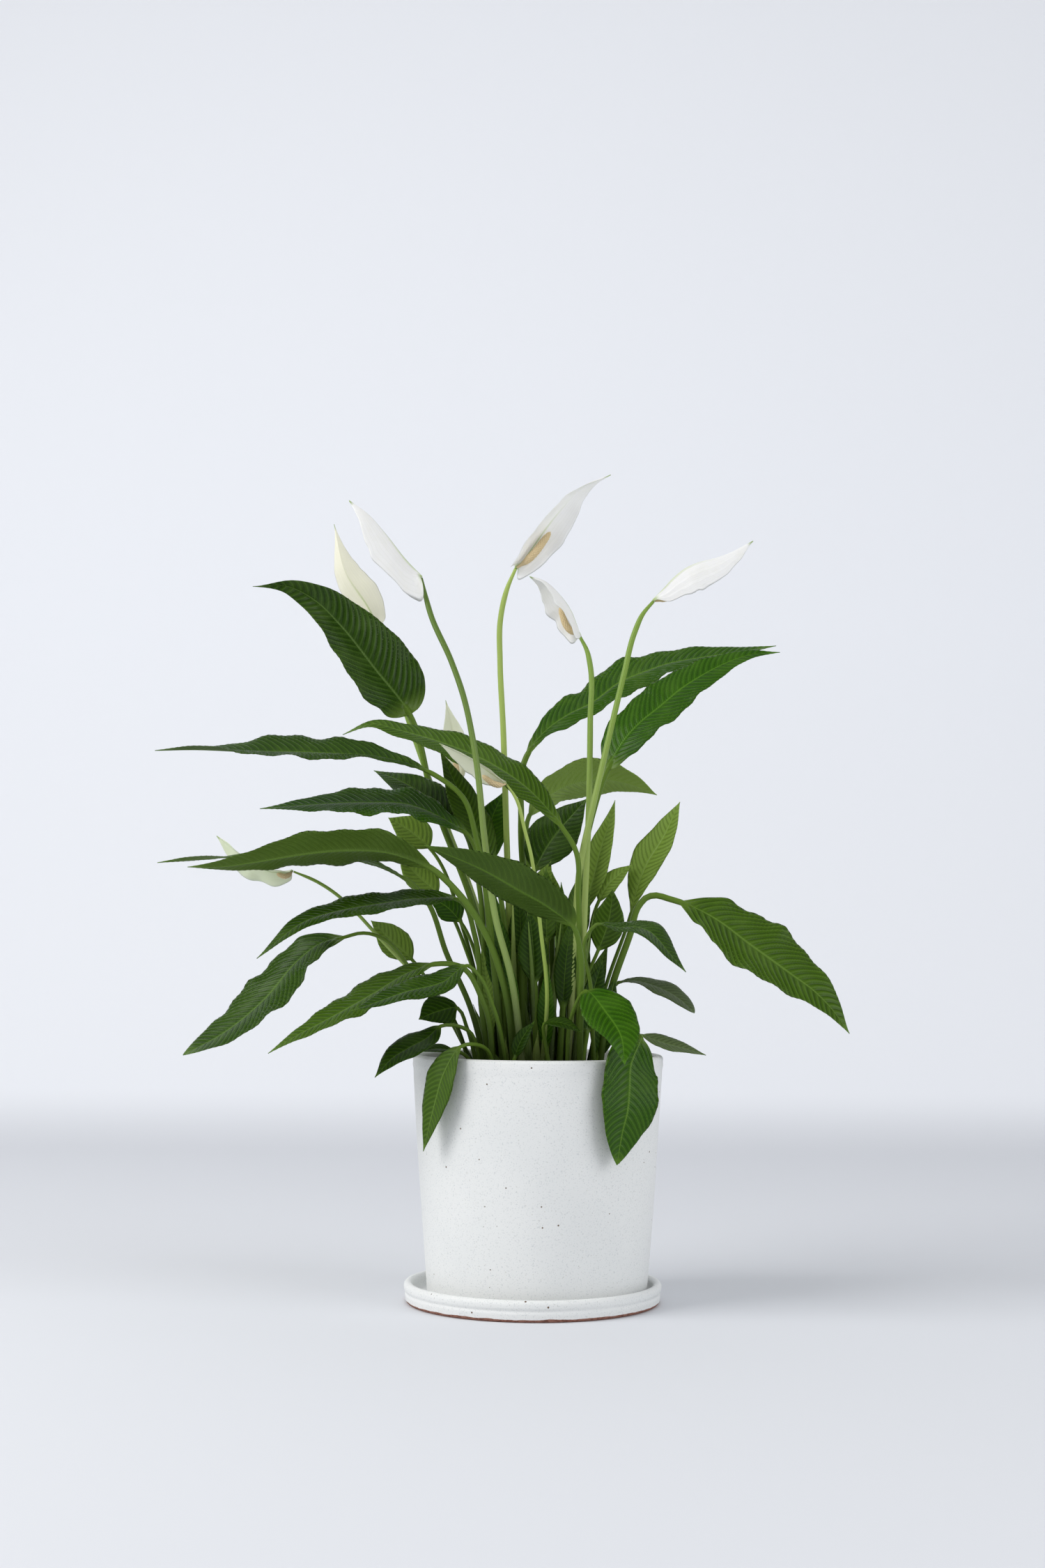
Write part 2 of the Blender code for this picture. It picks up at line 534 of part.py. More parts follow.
def spadix_mesh(name, start, ahead, opens, length):
    """A round-ended rod that leaves the stalk's end and stands off the spathe, where it opens."""
    size = SPADIX_RADIUS * min(1.0, 0.5 + length / 80.0)
    lift = SPADIX_LIFT * min(1.0, 0.7 + length / 60.0)
    rise = np.array([0.0, 0.62, 1.0, 1.0, 0.95]) * lift
    run = np.array([0.0, 0.16, 0.4, 0.75, 1.0]) * length * MM
    middle = [start + a * ahead + b * opens for a, b in zip(run, rise)]
    route = Route(middle, opens, 0.5)
    rings = []
    for share, fat in SPADIX_PROFILE:
        rings.append(round_ring(route, share * route.lengths[-1], size * fat))
    return skin(name, rings)


def add_flower(name, parent, root, stalk, spathe, width, opens, fold, spadix, radius):
    """Stalk, spathe and spadix: the two upper pieces each start just past the stalk's end."""
    points = grown(rooted(root, stalk))
    stem = Route(points, opens, 1.0)
    add_object(name + "_stalk", stalk_mesh(name + "_stalk", stem, radius), STALK_GREEN, 0.45, parent)
    end, ahead, front = stem.places[-1], stem.ahead[-1], stem.normals[-1]
    thin = radius * 0.45
    hood = np.vstack([end + ahead * (GAP + 1.4 * thin) - front * thin, grown(spathe)])
    sheet = Route(hood, opens, 0.4)
    add_object(
        name + "_spathe", spathe_mesh(name + "_spathe", sheet, width, fold, thin), SPATHE_WHITE, 0.5, parent)
    reach = grown(spathe)[1] - end
    reach /= np.linalg.norm(reach)
    out = np.asarray(opens, float)
    out -= out.dot(reach) * reach
    out /= np.linalg.norm(out)
    start = end + ahead * (2.0 * GAP + thin) + front * radius
    add_object(
        name + "_spadix", spadix_mesh(name + "_spadix", start, reach, out, spadix), SPADIX_TAN, 0.7, parent)


def main():
    clear_scene()
    plant = bpy.data.objects.new("potted_peace_lily", None)
    bpy.context.scene.collection.objects.link(plant)
    add_object("drip_saucer", saucer_mesh(), GLAZE_WHITE, 0.5, plant)
    add_object("ceramic_pot", pot_mesh(), GLAZE_WHITE, 0.5, plant)
    add_object("potting_soil", soil_mesh(), SOIL_BROWN, 0.95, plant)
    for name, leaf in LEAVES.items():
        add_object(name, leaf_mesh(name, **leaf), LEAF_GREEN, 0.35, plant)
    for name, flower in FLOWERS.items():
        add_flower(name, plant, **flower)


main()
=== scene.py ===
"""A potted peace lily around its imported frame: pot, saucer, soil, leaves, flowers and a plain studio.

Every piece is a numpy surface laid along the same routes as the solids. Metres, +Z up.
"""

import math
from collections import namedtuple

import bmesh
import bpy
import numpy as np
from bpy.props import FloatProperty, FloatVectorProperty, IntProperty, PointerProperty
from mathutils import Matrix, Vector


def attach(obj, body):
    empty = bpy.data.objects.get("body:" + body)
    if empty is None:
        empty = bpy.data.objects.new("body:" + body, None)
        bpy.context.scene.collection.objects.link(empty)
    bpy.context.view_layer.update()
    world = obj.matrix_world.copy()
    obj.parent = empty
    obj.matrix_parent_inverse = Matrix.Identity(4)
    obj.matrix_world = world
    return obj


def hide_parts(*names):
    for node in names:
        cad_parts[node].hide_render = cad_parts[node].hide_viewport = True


bl_info = {
    "name": "Potted Peace Lily",
    "version": (1, 0, 0),
    "blender": (4, 5, 0),
    "location": "View3D > Sidebar > Peace Lily",
    "description": "Builds a peace lily in a speckled stoneware pot, piece by piece",
    "category": "Add Mesh",
}

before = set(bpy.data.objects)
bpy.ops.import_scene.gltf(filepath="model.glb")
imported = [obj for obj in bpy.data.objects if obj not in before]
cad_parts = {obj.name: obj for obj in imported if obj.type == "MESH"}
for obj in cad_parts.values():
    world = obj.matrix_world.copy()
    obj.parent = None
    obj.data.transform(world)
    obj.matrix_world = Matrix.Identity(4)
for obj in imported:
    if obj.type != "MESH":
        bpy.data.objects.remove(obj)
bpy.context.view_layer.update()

MM = 0.001
POT_RIM_RADIUS = 0.1058
POT_SHIFT = 0.0035
SOIL_BELOW_RIM = 0.020
POT_BASE = 0.0073
SOIL_TOP = 0.186
GAP = 0.0003
LARGE_PETIOLE = 0.0026
MEDIUM_PETIOLE = 0.0021
SMALL_PETIOLE = 0.0015
STALK_RADIUS = 0.0023
THIN_STALK_RADIUS = 0.0014
ROOT_SWELL = 1.25
TURN = 2.0 * math.pi
GOLDEN_ANGLE = 2.399963
CROWN_X = 6.0
CROWN_STEMS, TALL_STEMS, YOUNG_LEAVES = 34, 20, 26
CRUMBS, GRIT = 440, 80
SAUCER_DISH = 0.007
CAMERA_PLACE = (-0.011, -1.860, 0.300)
CAMERA_TILT, CAMERA_ROLL, CAMERA_LENS = 94.15, 0.35, 50.19


def at_rim(angle, out, up):
    """A point beside the rim: degrees about the pot's axis, mm outward from the rim and mm above it."""
    turn = math.radians(angle)
    reach = POT_RIM_RADIUS / MM + out
    across = POT_SHIFT / MM + reach * math.cos(turn)
    return (across, reach * math.sin(turn), SOIL_BELOW_RIM / MM + up)


# A leaf's tone, where it leaves the soil (x, y), its petiole's points, its blade's points from base to tip
# (x, y, height above the soil, in mm), the blade's full width, the way its upper side faces where it is
# widest, how far each half folds up from the midrib in degrees, its petiole's radius, how deep its edge
# waves as a share of its width, its tip's turn in degrees, where it is widest and how sharp it ends.
Leaf = namedtuple("Leaf", "tone root petiole blade width up fold stem wave twist peak tip",
                  defaults=(0, 0.4, 1.25))
LEAVES = {
    "leaf_top_left": Leaf("glossy", (-26, 12), [(-48, 27, 130), (-90, 37, 243)], [(-110, 40, 312),
        (-141, 37, 352), (-172, 28, 390), (-191, 20, 408), (-213, 10, 419), (-244, 2, 418)], 74,
        (0.35, -0.85, 0.4), 30, LARGE_PETIOLE, 0.03, twist=-58, peak=0.24, tip=1.5),
    "leaf_high_left": Leaf("deep", (-24, -28), [(-36, -42, 110), (-49, -52, 200), (-60, -57, 233)],
        [(-84, -58, 252), (-122, -60, 265), (-177, -62, 269), (-241, -64, 270), (-281, -66, 271),
        (-314, -66, 270)], 58, (0.0, -0.4, 0.92), 18, MEDIUM_PETIOLE, 0.05, twist=30, peak=0.48),
    "leaf_crossing": Leaf("green", (38, -31), [(37, -45, 87), (36, -49, 150), (33, -45, 192)],
        [(22, -40, 210), (-6, -36, 242), (-40, -32, 265), (-67, -29, 277), (-116, -26, 292),
        (-138, -25, 297), (-163, -24, 288)], 50, (0.0, -0.47, 0.88), 6, MEDIUM_PETIOLE, 0.05),
    "leaf_bright_left": Leaf("fresh", (-25, -14), [(-34, -22, 90), (-44, -28, 170)], [(-56, -31, 203),
        (-75, -32, 216), (-108, -34, 229), (-141, -36, 230), (-197, -38, 227), (-230, -40, 224)], 62,
        (0.0, -0.42, 0.9), 6, MEDIUM_PETIOLE, 0.045),
    "leaf_dark_left": Leaf("deep", (-37, 7), [(-42, 6, 100), (-50, 2, 175)], [(-60, 0, 208), (-90, 4, 236),
        (-116, 16, 252), (-140, 30, 262)], 50, (0.2, -0.55, 0.8), 6, MEDIUM_PETIOLE, 0.04),
    "leaf_front_left": Leaf("green", (-15, -37), [(-25, -50, 78), (-40, -60, 120), (-63, -66, 154)],
        [(-85, -70, 174), (-115, -75, 186), (-158, -82, 188), (-191, -90, 184), (-224, -96, 178),
        (-250, -99, 174), (-280, -102, 173)], 56, (0.0, 0.5, 0.87), 14, LARGE_PETIOLE, 0.045),
    "leaf_thread_left": Leaf("green", (-38, -8), [(-54, -10, 60), (-74, -12, 104), (-92, -17, 150)],
        [(-105, -20, 164), (-132, -25, 178), (-162, -33, 186), (-196, -40, 187), (-237, -47, 184),
        (-287, -54, 181), (-312, -56, 178)], 38, (0.0, -0.3, 0.95), 4, MEDIUM_PETIOLE, 0.04, twist=40,
        peak=0.45),
    "leaf_middle_left": Leaf("deep", (-36, -22), [(-44, -32, 60), (-50, -40, 120)], [(-60, -46, 147),
        (-94, -56, 150), (-122, -64, 146), (-156, -74, 140), (-185, -84, 131), (-223, -104, 100)], 48,
        (-0.2, -0.4, 0.9), 6, MEDIUM_PETIOLE, 0.035),
    "leaf_droop_left": Leaf("glossy", (-50, -6), [(-72, -10, 56), (-100, -14, 86), (-130, -19, 118),
        (-140, -21, 121), (-147, -22, 121)], [(-158, -24, 118), (-178, -28, 113), (-197, -34, 98),
        (-222, -46, 67), (-254, -60, 39), (-286, -70, 21)], 64, (-0.45, -0.5, 0.74), 8, SMALL_PETIOLE, 0.05,
        peak=0.48, tip=0.85),
    "leaf_small_light": Leaf("pale", (-46, 18), [(-80, 20, 62)], [(-105, 21, 99), (-124, 20, 116),
        (-140, 14, 132)], 34, (0.4, -0.75, 0.5), 10, SMALL_PETIOLE, 0.03),
    "leaf_long_low_left": Leaf("green", (-33, -40), [(-42, -46, 64), (-61, -52, 94)], [(-82, -58, 96),
        (-99, -62, 91), (-133, -72, 71), (-166, -82, 52), (-197, -90, 35), (-214, -94, 24)], 48,
        (-0.25, -0.4, 0.87), 6, MEDIUM_PETIOLE, 0.05),
    "leaf_dark_low_left": Leaf("deep", (-20, -49), [(-34, -68, 62), (-46, -80, 88)], [(-54, -85, 95),
        (-74, -92, 82), (-104, -100, 74), (-126, -108, 66), (-146, -114, 59)], 40, (-0.2, -0.45, 0.87), 6,
        SMALL_PETIOLE, 0.04),
    "leaf_round_low_left": Leaf("deep", (-46, -18), [(-56, -22, 42)], [(-64, -25, 59), (-80, -30, 56.5),
        (-96, -36, 50)], 38, (-0.3, -0.7, 0.6), 4, SMALL_PETIOLE, 0.03),
    "leaf_rim_left": Leaf("deep", (-42, -30), [(-56, -40, 42)], [(-77, -50, 45), at_rim(211, 2, 15),
        at_rim(210, 16, 8), at_rim(208.5, 29, 0), at_rim(208, 45, -16)], 32, (-0.3, -0.6, 0.75), 6,
        SMALL_PETIOLE, 0.05),
    "leaf_over_rim_left": Leaf("green", (-31, -51), [(-40, -69, 28)], [at_rim(234.5, 3, 10),
        at_rim(227.5, 8, -12), at_rim(223.5, 9, -34), at_rim(221, 11, -54), at_rim(218.5, 13, -75)], 30,
        (-0.65, -0.75, 0.1), 8, SMALL_PETIOLE, 0.04),
    "leaf_over_rim_right": Leaf("fresh", (57, -24), [(74, -48, 34)], [at_rim(319, 4, 18),
        at_rim(311, 7, -6), at_rim(309.5, 9, -24), at_rim(308, 10, -41), at_rim(306, 9, -56),
        at_rim(303.5, 8, -83)], 54, (0.5, -0.85, 0.1), 6, MEDIUM_PETIOLE, 0.03, peak=0.42, tip=0.95),
    "leaf_bright_right": Leaf("bright", (27, -49), [(31, -60, 56)], [(41, -75, 75), at_rim(300.5, 2, 37),
        at_rim(301.5, 19, 20), at_rim(299.7, 31, -2)], 46, (0.25, -0.75, 0.6), 12, SMALL_PETIOLE, 0.03),
    "leaf_small_dark": Leaf("deep", (16, -53), [(8, -60, 38)], [(8, -67, 48), (22, -74, 49), (38, -80, 42)],
        16, (0.1, -0.5, 0.85), 8, SMALL_PETIOLE, 0.03),
    "leaf_pale_right": Leaf("dull", (52, 22), [(62, 26, 58)], [(72, 27, 80), (83, 26, 82), (105, 22, 77),
        (125, 18, 66), (137, 14, 55)], 30, (0.2, -0.4, 0.9), 8, SMALL_PETIOLE, 0.05, peak=0.6, tip=0.7),
    "leaf_rim_right": Leaf("dull", (62, -12), [(78, -18, 32)], [(90, -20, 37), at_rim(348.5, -5, 13),
        at_rim(350, 6, 9.5), at_rim(351, 18, 6.5), at_rim(352, 36, 1)], 24, (0.1, -0.45, 0.9), 6,
        SMALL_PETIOLE, 0.03),
    "leaf_big_right": Leaf("green", (54, -1), [(66, -2, 78), (81, -6, 122), (89, -8, 147), (95, -9, 153),
        (103, -11, 154.5), (112, -13, 152)], [(122, -15, 149), (139, -20, 142), (157, -26, 131),
        (176, -32, 116), (195, -37, 102), (214, -42, 88), (229, -46, 77), (243, -50, 63), (259, -54, 41)],
        72, (0.3, -0.68, 0.68), 14, LARGE_PETIOLE, 0.06, peak=0.42),
    "leaf_glossy_right": Leaf("glossy", (50, -34), [(46, -52, 80), (42, -62, 118)], [(50, -65, 129),
        (68, -68, 127), (84, -75, 127), (94, -79, 123), (101, -82, 116), (108, -85, 107), (122, -88, 91)],
        31, (0.1, -0.4, 0.9), 8, SMALL_PETIOLE, 0.04, peak=0.45),
    "leaf_upright_right": Leaf("pale", (44, 10), [(62, 12, 80)], [(82, 12, 138), (88, 12, 161),
        (96, 12, 182), (109, 10, 203), (124, 8, 235)], 34, (-0.6, -0.75, 0.2), 16, SMALL_PETIOLE, 0.04,
        peak=0.52),
    "leaf_top_right": Leaf("fresh", (4, 22), [(-4, 44, 120), (-12, 49, 220)], [(-8, 50, 276), (4, 52, 295),
        (26, 56, 313), (50, 62, 326), (75, 68, 345), (97, 72, 355), (119, 76, 363), (148, 80, 369),
        (179, 80, 374), (215, 80, 380)], 64, (-0.15, -0.45, 0.87), 8, LARGE_PETIOLE, 0.06, peak=0.45),
    "leaf_second_right": Leaf("bright", (24, 4), [(34, 6, 120), (48, 10, 220)], [(62, 12, 263),
        (75, 14, 287), (89, 17, 303), (107, 20, 318), (127, 24, 335), (147, 27, 348), (166, 30, 358),
        (185, 32, 365), (213, 34, 368)], 52, (-0.35, -0.72, 0.6), 10, LARGE_PETIOLE, 0.05, peak=0.33),
    "leaf_light_back": Leaf("pale", (14, 36), [(6, 66, 110), (-6, 78, 190)], [(-5, 80, 226), (20, 84, 250),
        (56, 90, 260), (90, 96, 255), (110, 100, 247)], 62, (0.0, 0.5, 0.87), 8, MEDIUM_PETIOLE, 0.03),
    "leaf_dark_middle": Leaf("glossy", (6, 8), [(-4, 14, 90)], [(0, 22, 176), (9, 26, 194), (20, 29, 210),
        (32, 32, 224), (45, 34, 239)], 46, (-0.3, -0.9, 0.3), 10, MEDIUM_PETIOLE, 0.04),
    "leaf_front_centre": Leaf("deep", (37, -42), [(38, -62, 70), (37, -78, 106)], [(31, -89, 127),
        (12, -99, 142), (-12, -109, 155), (-43, -116, 172), (-71, -118, 184), (-89, -118, 191)], 56,
        (0.1, 0.5, 0.85), 12, MEDIUM_PETIOLE, 0.03),
    "leaf_upright_middle": Leaf("pale", (34, 16), [(38, 18, 80)], [(42, 19, 140), (51, 19, 172),
        (57, 20, 196), (64, 20, 217), (69, 22, 237)], 26, (-0.5, -0.85, 0.1), 14, SMALL_PETIOLE, 0.03),
    "leaf_upright_left": Leaf("green", (-12, -14), [(-22, -12, 100)], [(-36, -10, 180), (-58, -3, 226),
        (-82, 6, 278)], 34, (0.5, -0.8, 0.2), 14, MEDIUM_PETIOLE, 0.03),
    "leaf_back_left": Leaf("deep", (-26, 40), [(-40, 78, 150)], [(-54, 98, 205), (-88, 136, 236),
        (-128, 170, 236)], 50, (0.0, 0.2, 1.0), 16, MEDIUM_PETIOLE, 0.04),
    "leaf_back_right": Leaf("green", (10, 50), [(12, 90, 100)], [(14, 116, 132), (18, 172, 142),
        (22, 236, 108)], 56, (0.0, 0.2, 1.0), 18, MEDIUM_PETIOLE, 0.04),
    "leaf_over_rim_back": Leaf("green", (-10, 50), [(-14, 76, 34)], [at_rim(98, 3, 14), at_rim(100, 16, -8),
        at_rim(102, 18, -42), at_rim(104, 14, -80)], 44, (-0.15, 1.0, 0.1), 10, SMALL_PETIOLE, 0.04),
}

# A flower: where its stalk leaves the soil, the stalk's points, the hood's points from just past the
# stalk's end to its tip, its full width, the way it opens, its fold, its spadix's length, the stalk's
# radius, the hood's tone, how far its lower edges hang back past the stalk (mm), how deep its edge waves,
# its tip's turn, where it is widest, how sharp it ends, and the stalk's tone.
Flower = namedtuple("Flower", "root stalk spathe width opens fold spadix radius"
                    " tone hang wave twist peak tip skin")
FLOWERS = {
    "flower_tall_left": Flower((-8, -47), [(-20, -56, 88), (-32, -64, 132), (-42, -72, 200),
        (-50, -72, 268), (-61, -66, 319), (-71, -60, 347), (-88, -52, 385), (-97, -46, 418)],
        [(-109, -48, 431), (-127, -49, 454), (-142, -49, 471), (-158, -48, 483)], 46, (-0.72, 0.1, -0.69),
        44, 34, STALK_RADIUS, "white", 34, 0.03, 0, 0.34, 1.15, "dark"),
    "flower_cream_left": Flower((-22, 27), [(-46, 42, 130), (-89, 58, 245), (-112, 64, 309),
        (-131, 66, 364), (-138, 66, 391)], [(-151, 62, 413), (-168, 60, 438), (-180, 62, 484)], 34,
        (0.2, 0.95, 0.1), 26, 36, STALK_RADIUS, "cream", 6, 0.02, 0, 0.36, 1.75, "middle"),
    "flower_top_centre": Flower((-13, -1), [(-20, 4, 100), (-24, 8, 193), (-28, 8, 298), (-31, 2, 355),
        (-31, -4, 388), (-25, -10, 416), (-18, -14, 432)], [(-11, -11, 441), (-2, -9, 454), (9, -8, 470),
        (20, -8, 484), (31, -9, 496), (42, -10, 505), (63, -12, 514)], 35, (0.55, -0.75, -0.35), 28, 42,
        STALK_RADIUS, "white", 26, 0.05, 30, 0.38, 1.6, "bright"),
    "flower_centre": Flower((37, -18), [(42, -22, 147), (45, -22, 224), (46, -21, 300), (46, -18, 348),
        (43, -16, 362), (37, -14, 374)], [(34, -13, 383), (29, -13, 396), (19, -15, 410), (6, -18, 421),
        (-6, -22, 424)], 32, (-0.7, -0.4, -0.6), 44, 28, STALK_RADIUS, "white", 16, 0.05, 10, 0.42, 1.15,
        "middle"),
    "flower_right": Flower((28, -21), [(33, -29, 100), (38, -34, 181), (48, -34, 228), (56, -32, 263),
        (65, -30, 302), (74, -28, 340), (83, -26, 376), (90, -25, 392), (99, -24, 403)], [(107, -24, 412),
        (117, -25, 423), (127, -26, 431), (138, -26, 436), (149, -25, 439), (160, -23, 443),
        (184, -20, 456)], 40, (0.2, 0.45, -0.85), 46, 36, STALK_RADIUS, "white", 4, 0.03, 0, 0.42, 1.3,
        "middle"),
    "flower_small_back": Flower((-10, 16), [(-28, 40, 120), (-60, 49, 218), (-68, 50, 250)],
        [(-70, 53, 269), (-73, 54, 297), (-79, 50, 326)], 26, (0.1, -1.0, 0.1), 26, 24, THIN_STALK_RADIUS,
        "young", 4, 0.03, 0, 0.4, 1.6, "bright"),
    "flower_folded": Flower((5, -49), [(10, -54, 77), (5, -57, 122), (0, -60, 163), (-3, -60, 183),
        (-9, -58, 207), (-17, -58, 234), (-24, -58, 244)], [(-36, -58, 253), (-56, -58, 266),
        (-80, -58, 278)], 22, (-0.2, -0.6, -0.75), 30, 20, THIN_STALK_RADIUS, "young", 4, 0.03, 0, 0.4, 1.3,
        "bright"),
    "flower_faded": Flower((-49, 6), [(-78, 5, 64), (-111, 3, 96), (-136, 2, 122), (-153, 1, 140),
        (-170, 0, 155), (-186, -1, 165), (-205, -3, 173)], [(-224, -4, 173), (-249, -5, 186),
        (-271, -2, 203)], 30, (-0.1, -0.5, -0.85), 24, 12, THIN_STALK_RADIUS, "faded", 8, 0.08, 20, 0.4,
        1.3, "middle"),
}

# Small leaves and young shoots between the stems, which have no solid of their own.
SMALL_LEAVES = {
    "shoot_rim_left": Leaf("deep", (-44, -24), [(-60, -30, 22)], [(-66, -33, 24), (-80, -40, 26),
        (-94, -48, 24)], 15, (-0.1, -0.5, 0.85), 8, SMALL_PETIOLE, 0.03),
    "shoot_upright_right": Leaf("pale", (36, 8), [(44, 10, 90)], [(55, 12, 150), (64, 12, 165),
        (73, 11, 173), (83, 10, 181)], 20, (-0.4, -0.8, 0.4), 12, SMALL_PETIOLE, 0.03),
    "shoot_dark_right": Leaf("green", (34, -4), [(42, -4, 80)], [(54, -4, 108), (62, -4, 130),
        (65, -4, 146), (66, -4, 160)], 30, (-0.3, -0.9, 0.2), 10, SMALL_PETIOLE, 0.03),
    "shoot_centre_right": Leaf("pale", (22, 18), [(14, 18, 90)], [(8, 18, 140), (6, 18, 162),
        (14, 18, 184)], 20, (0.1, -0.95, 0.1), 12, SMALL_PETIOLE, 0.03),
    "shoot_high_left": Leaf("fresh", (-20, 22), [(-34, 24, 120)], [(-36, 22, 186), (-40, 20, 206),
        (-28, 18, 243)], 30, (0.0, -0.95, 0.2), 12, SMALL_PETIOLE, 0.03),
    "shoot_pale_left": Leaf("pale", (-34, 28), [(-60, 36, 120)], [(-92, 44, 196), (-108, 46, 210),
        (-128, 46, 222)], 34, (0.2, -0.8, 0.5), 8, SMALL_PETIOLE, 0.03),
    "shoot_light_left": Leaf("pale", (-34, 24), [(-56, 30, 100)], [(-84, 34, 156), (-102, 36, 172),
        (-118, 36, 190)], 30, (0.2, -0.8, 0.5), 8, SMALL_PETIOLE, 0.03),
    "shoot_young_left": Leaf("fresh", (-28, 18), [(-44, 22, 80)], [(-64, 24, 132), (-78, 26, 146),
        (-92, 26, 152)], 26, (0.1, -0.8, 0.5), 8, SMALL_PETIOLE, 0.03),
    "shoot_soil_centre": Leaf("deep", (-18, -56), [(-17, -60, 14)], [(-16, -62, 20), (-11, -64, 34),
        (0, -66, 50)], 14, (-0.5, -0.8, 0.2), 14, SMALL_PETIOLE, 0.03),
}

# Each tone: upper side, underside, veins, and the upper side's roughness.
TONES = {
    "glossy": ((0.026, 0.066, 0.004), (0.078, 0.130, 0.026), (0.12, 0.21, 0.040), 0.27),
    "deep": ((0.019, 0.054, 0.001), (0.056, 0.106, 0.012), (0.10, 0.19, 0.020), 0.32),
    "green": ((0.050, 0.110, 0.005), (0.078, 0.138, 0.017), (0.14, 0.24, 0.040), 0.35),
    "fresh": ((0.026, 0.088, 0.001), (0.078, 0.146, 0.018), (0.12, 0.23, 0.022), 0.30),
    "bright": ((0.027, 0.097, 0.001), (0.090, 0.165, 0.026), (0.10, 0.23, 0.016), 0.30),
    "pale": ((0.185, 0.300, 0.038), (0.215, 0.330, 0.055), (0.23, 0.35, 0.075), 0.40),
    "dull": ((0.110, 0.160, 0.055), (0.150, 0.210, 0.085), (0.19, 0.27, 0.105), 0.40),
}

# Lower and upper colours of each kind of stalk.
STALK_TONES = {
    "bright": ((0.26, 0.37, 0.060), (0.37, 0.49, 0.110)),
    "dark": ((0.24, 0.34, 0.085), (0.090, 0.165, 0.016)),
    "middle": ((0.34, 0.44, 0.120), (0.19, 0.31, 0.040)),
    "petiole": ((0.055, 0.100, 0.010), (0.130, 0.220, 0.030)),
    "sheath": ((0.110, 0.170, 0.025), (0.22, 0.31, 0.060)),
}

# The hood's colour by tone.
HOOD_TONES = {
    "white": (0.88, 0.875, 0.85), "cream": (0.80, 0.78, 0.62),
    "young": (0.76, 0.79, 0.60), "faded": (0.66, 0.73, 0.52),
}


# Routes and surfaces


def grown(points):
    """Millimetre points on the plant as metres in the part's frame."""
    return np.array(points, float) * MM + (0.0, 0.0, SOIL_TOP)


def smooth(low, high, x):
    """Smoothstep: 3t^2 - 2t^3 of x's share of the way from low to high."""
    t = np.clip((np.asarray(x, float) - low) / (high - low), 0.0, 1.0)
    return t * t * (3.0 - 2.0 * t)


class Route:
    """A cubic curve through points, with a side and a normal that turn as little as they can."""

    STEPS = 24

    def __init__(self, points, up, up_at):
        points = np.asarray(points, float)
        spans = np.linalg.norm(np.diff(points, axis=0), axis=1)
        knots = np.concatenate([[0.0], np.cumsum(spans)])
        slopes = np.gradient(points, knots, axis=0)
        t = np.linspace(0.0, 1.0, self.STEPS, endpoint=False)[None, :, None]
        start, end = points[:-1, None], points[1:, None]
        leave, arrive = slopes[:-1, None], slopes[1:, None]
        span = spans[:, None, None]
        curve = (start * (2 * t**3 - 3 * t**2 + 1) + end * (3 * t**2 - 2 * t**3)
                 + span * leave * (t**3 - 2 * t**2 + t) + span * arrive * (t**3 - t**2))
        self.places = np.vstack([curve.reshape(-1, 3), points[-1:]])
        steps = np.linalg.norm(np.diff(self.places, axis=0), axis=1)
        self.lengths = np.concatenate([[0.0], np.cumsum(steps)])
        ahead = np.gradient(self.places, self.lengths, axis=0)
        self.ahead = ahead / np.linalg.norm(ahead, axis=1)[:, None]
        normals = np.zeros_like(self.places)
        first = int(np.searchsorted(self.lengths, up_at * self.lengths[-1]))
        normals[first] = self.square(np.asarray(up, float), first)
        for k in range(first + 1, len(normals)):
            normals[k] = self.square(normals[k - 1], k)
        for k in range(first - 1, -1, -1):
            normals[k] = self.square(normals[k + 1], k)
        self.normals = normals
        self.sides = np.cross(normals, self.ahead)

    def square(self, vector, k):
        flat = vector - vector.dot(self.ahead[k]) * self.ahead[k]
        return flat / np.linalg.norm(flat)

    def length_at(self, knot):
        return self.lengths[knot * self.STEPS]

    def read(self, rows, length):
        return np.stack([np.interp(length, self.lengths, rows[:, i]) for i in range(3)], -1)

    def place(self, length, u, v):
        """Points u to the side and v along the normal at each length; past an end it runs straight on."""
        length = np.broadcast_to(length, u.shape)
        over = length - np.clip(length, 0.0, self.lengths[-1])
        ahead = self.read(self.ahead, length)
        return (self.read(self.places, length) + over[..., None] * ahead
                + u[..., None] * self.read(self.sides, length)
                + v[..., None] * self.read(self.normals, length))


def grid_faces(rows, columns, wrap_rows=False, wrap_columns=False):
    """Quads between neighbouring rows and columns of points; a wrap joins the last to the first."""
    j, k = np.meshgrid(np.arange(rows - (not wrap_rows)), np.arange(columns - (not wrap_columns)),
                       indexing="ij")
    after, beside = (j + 1) % rows, (k + 1) % columns
    corners = (j * columns + k, j * columns + beside, after * columns + beside, after * columns + k)
    return np.stack(corners, -1).reshape(-1, 4)


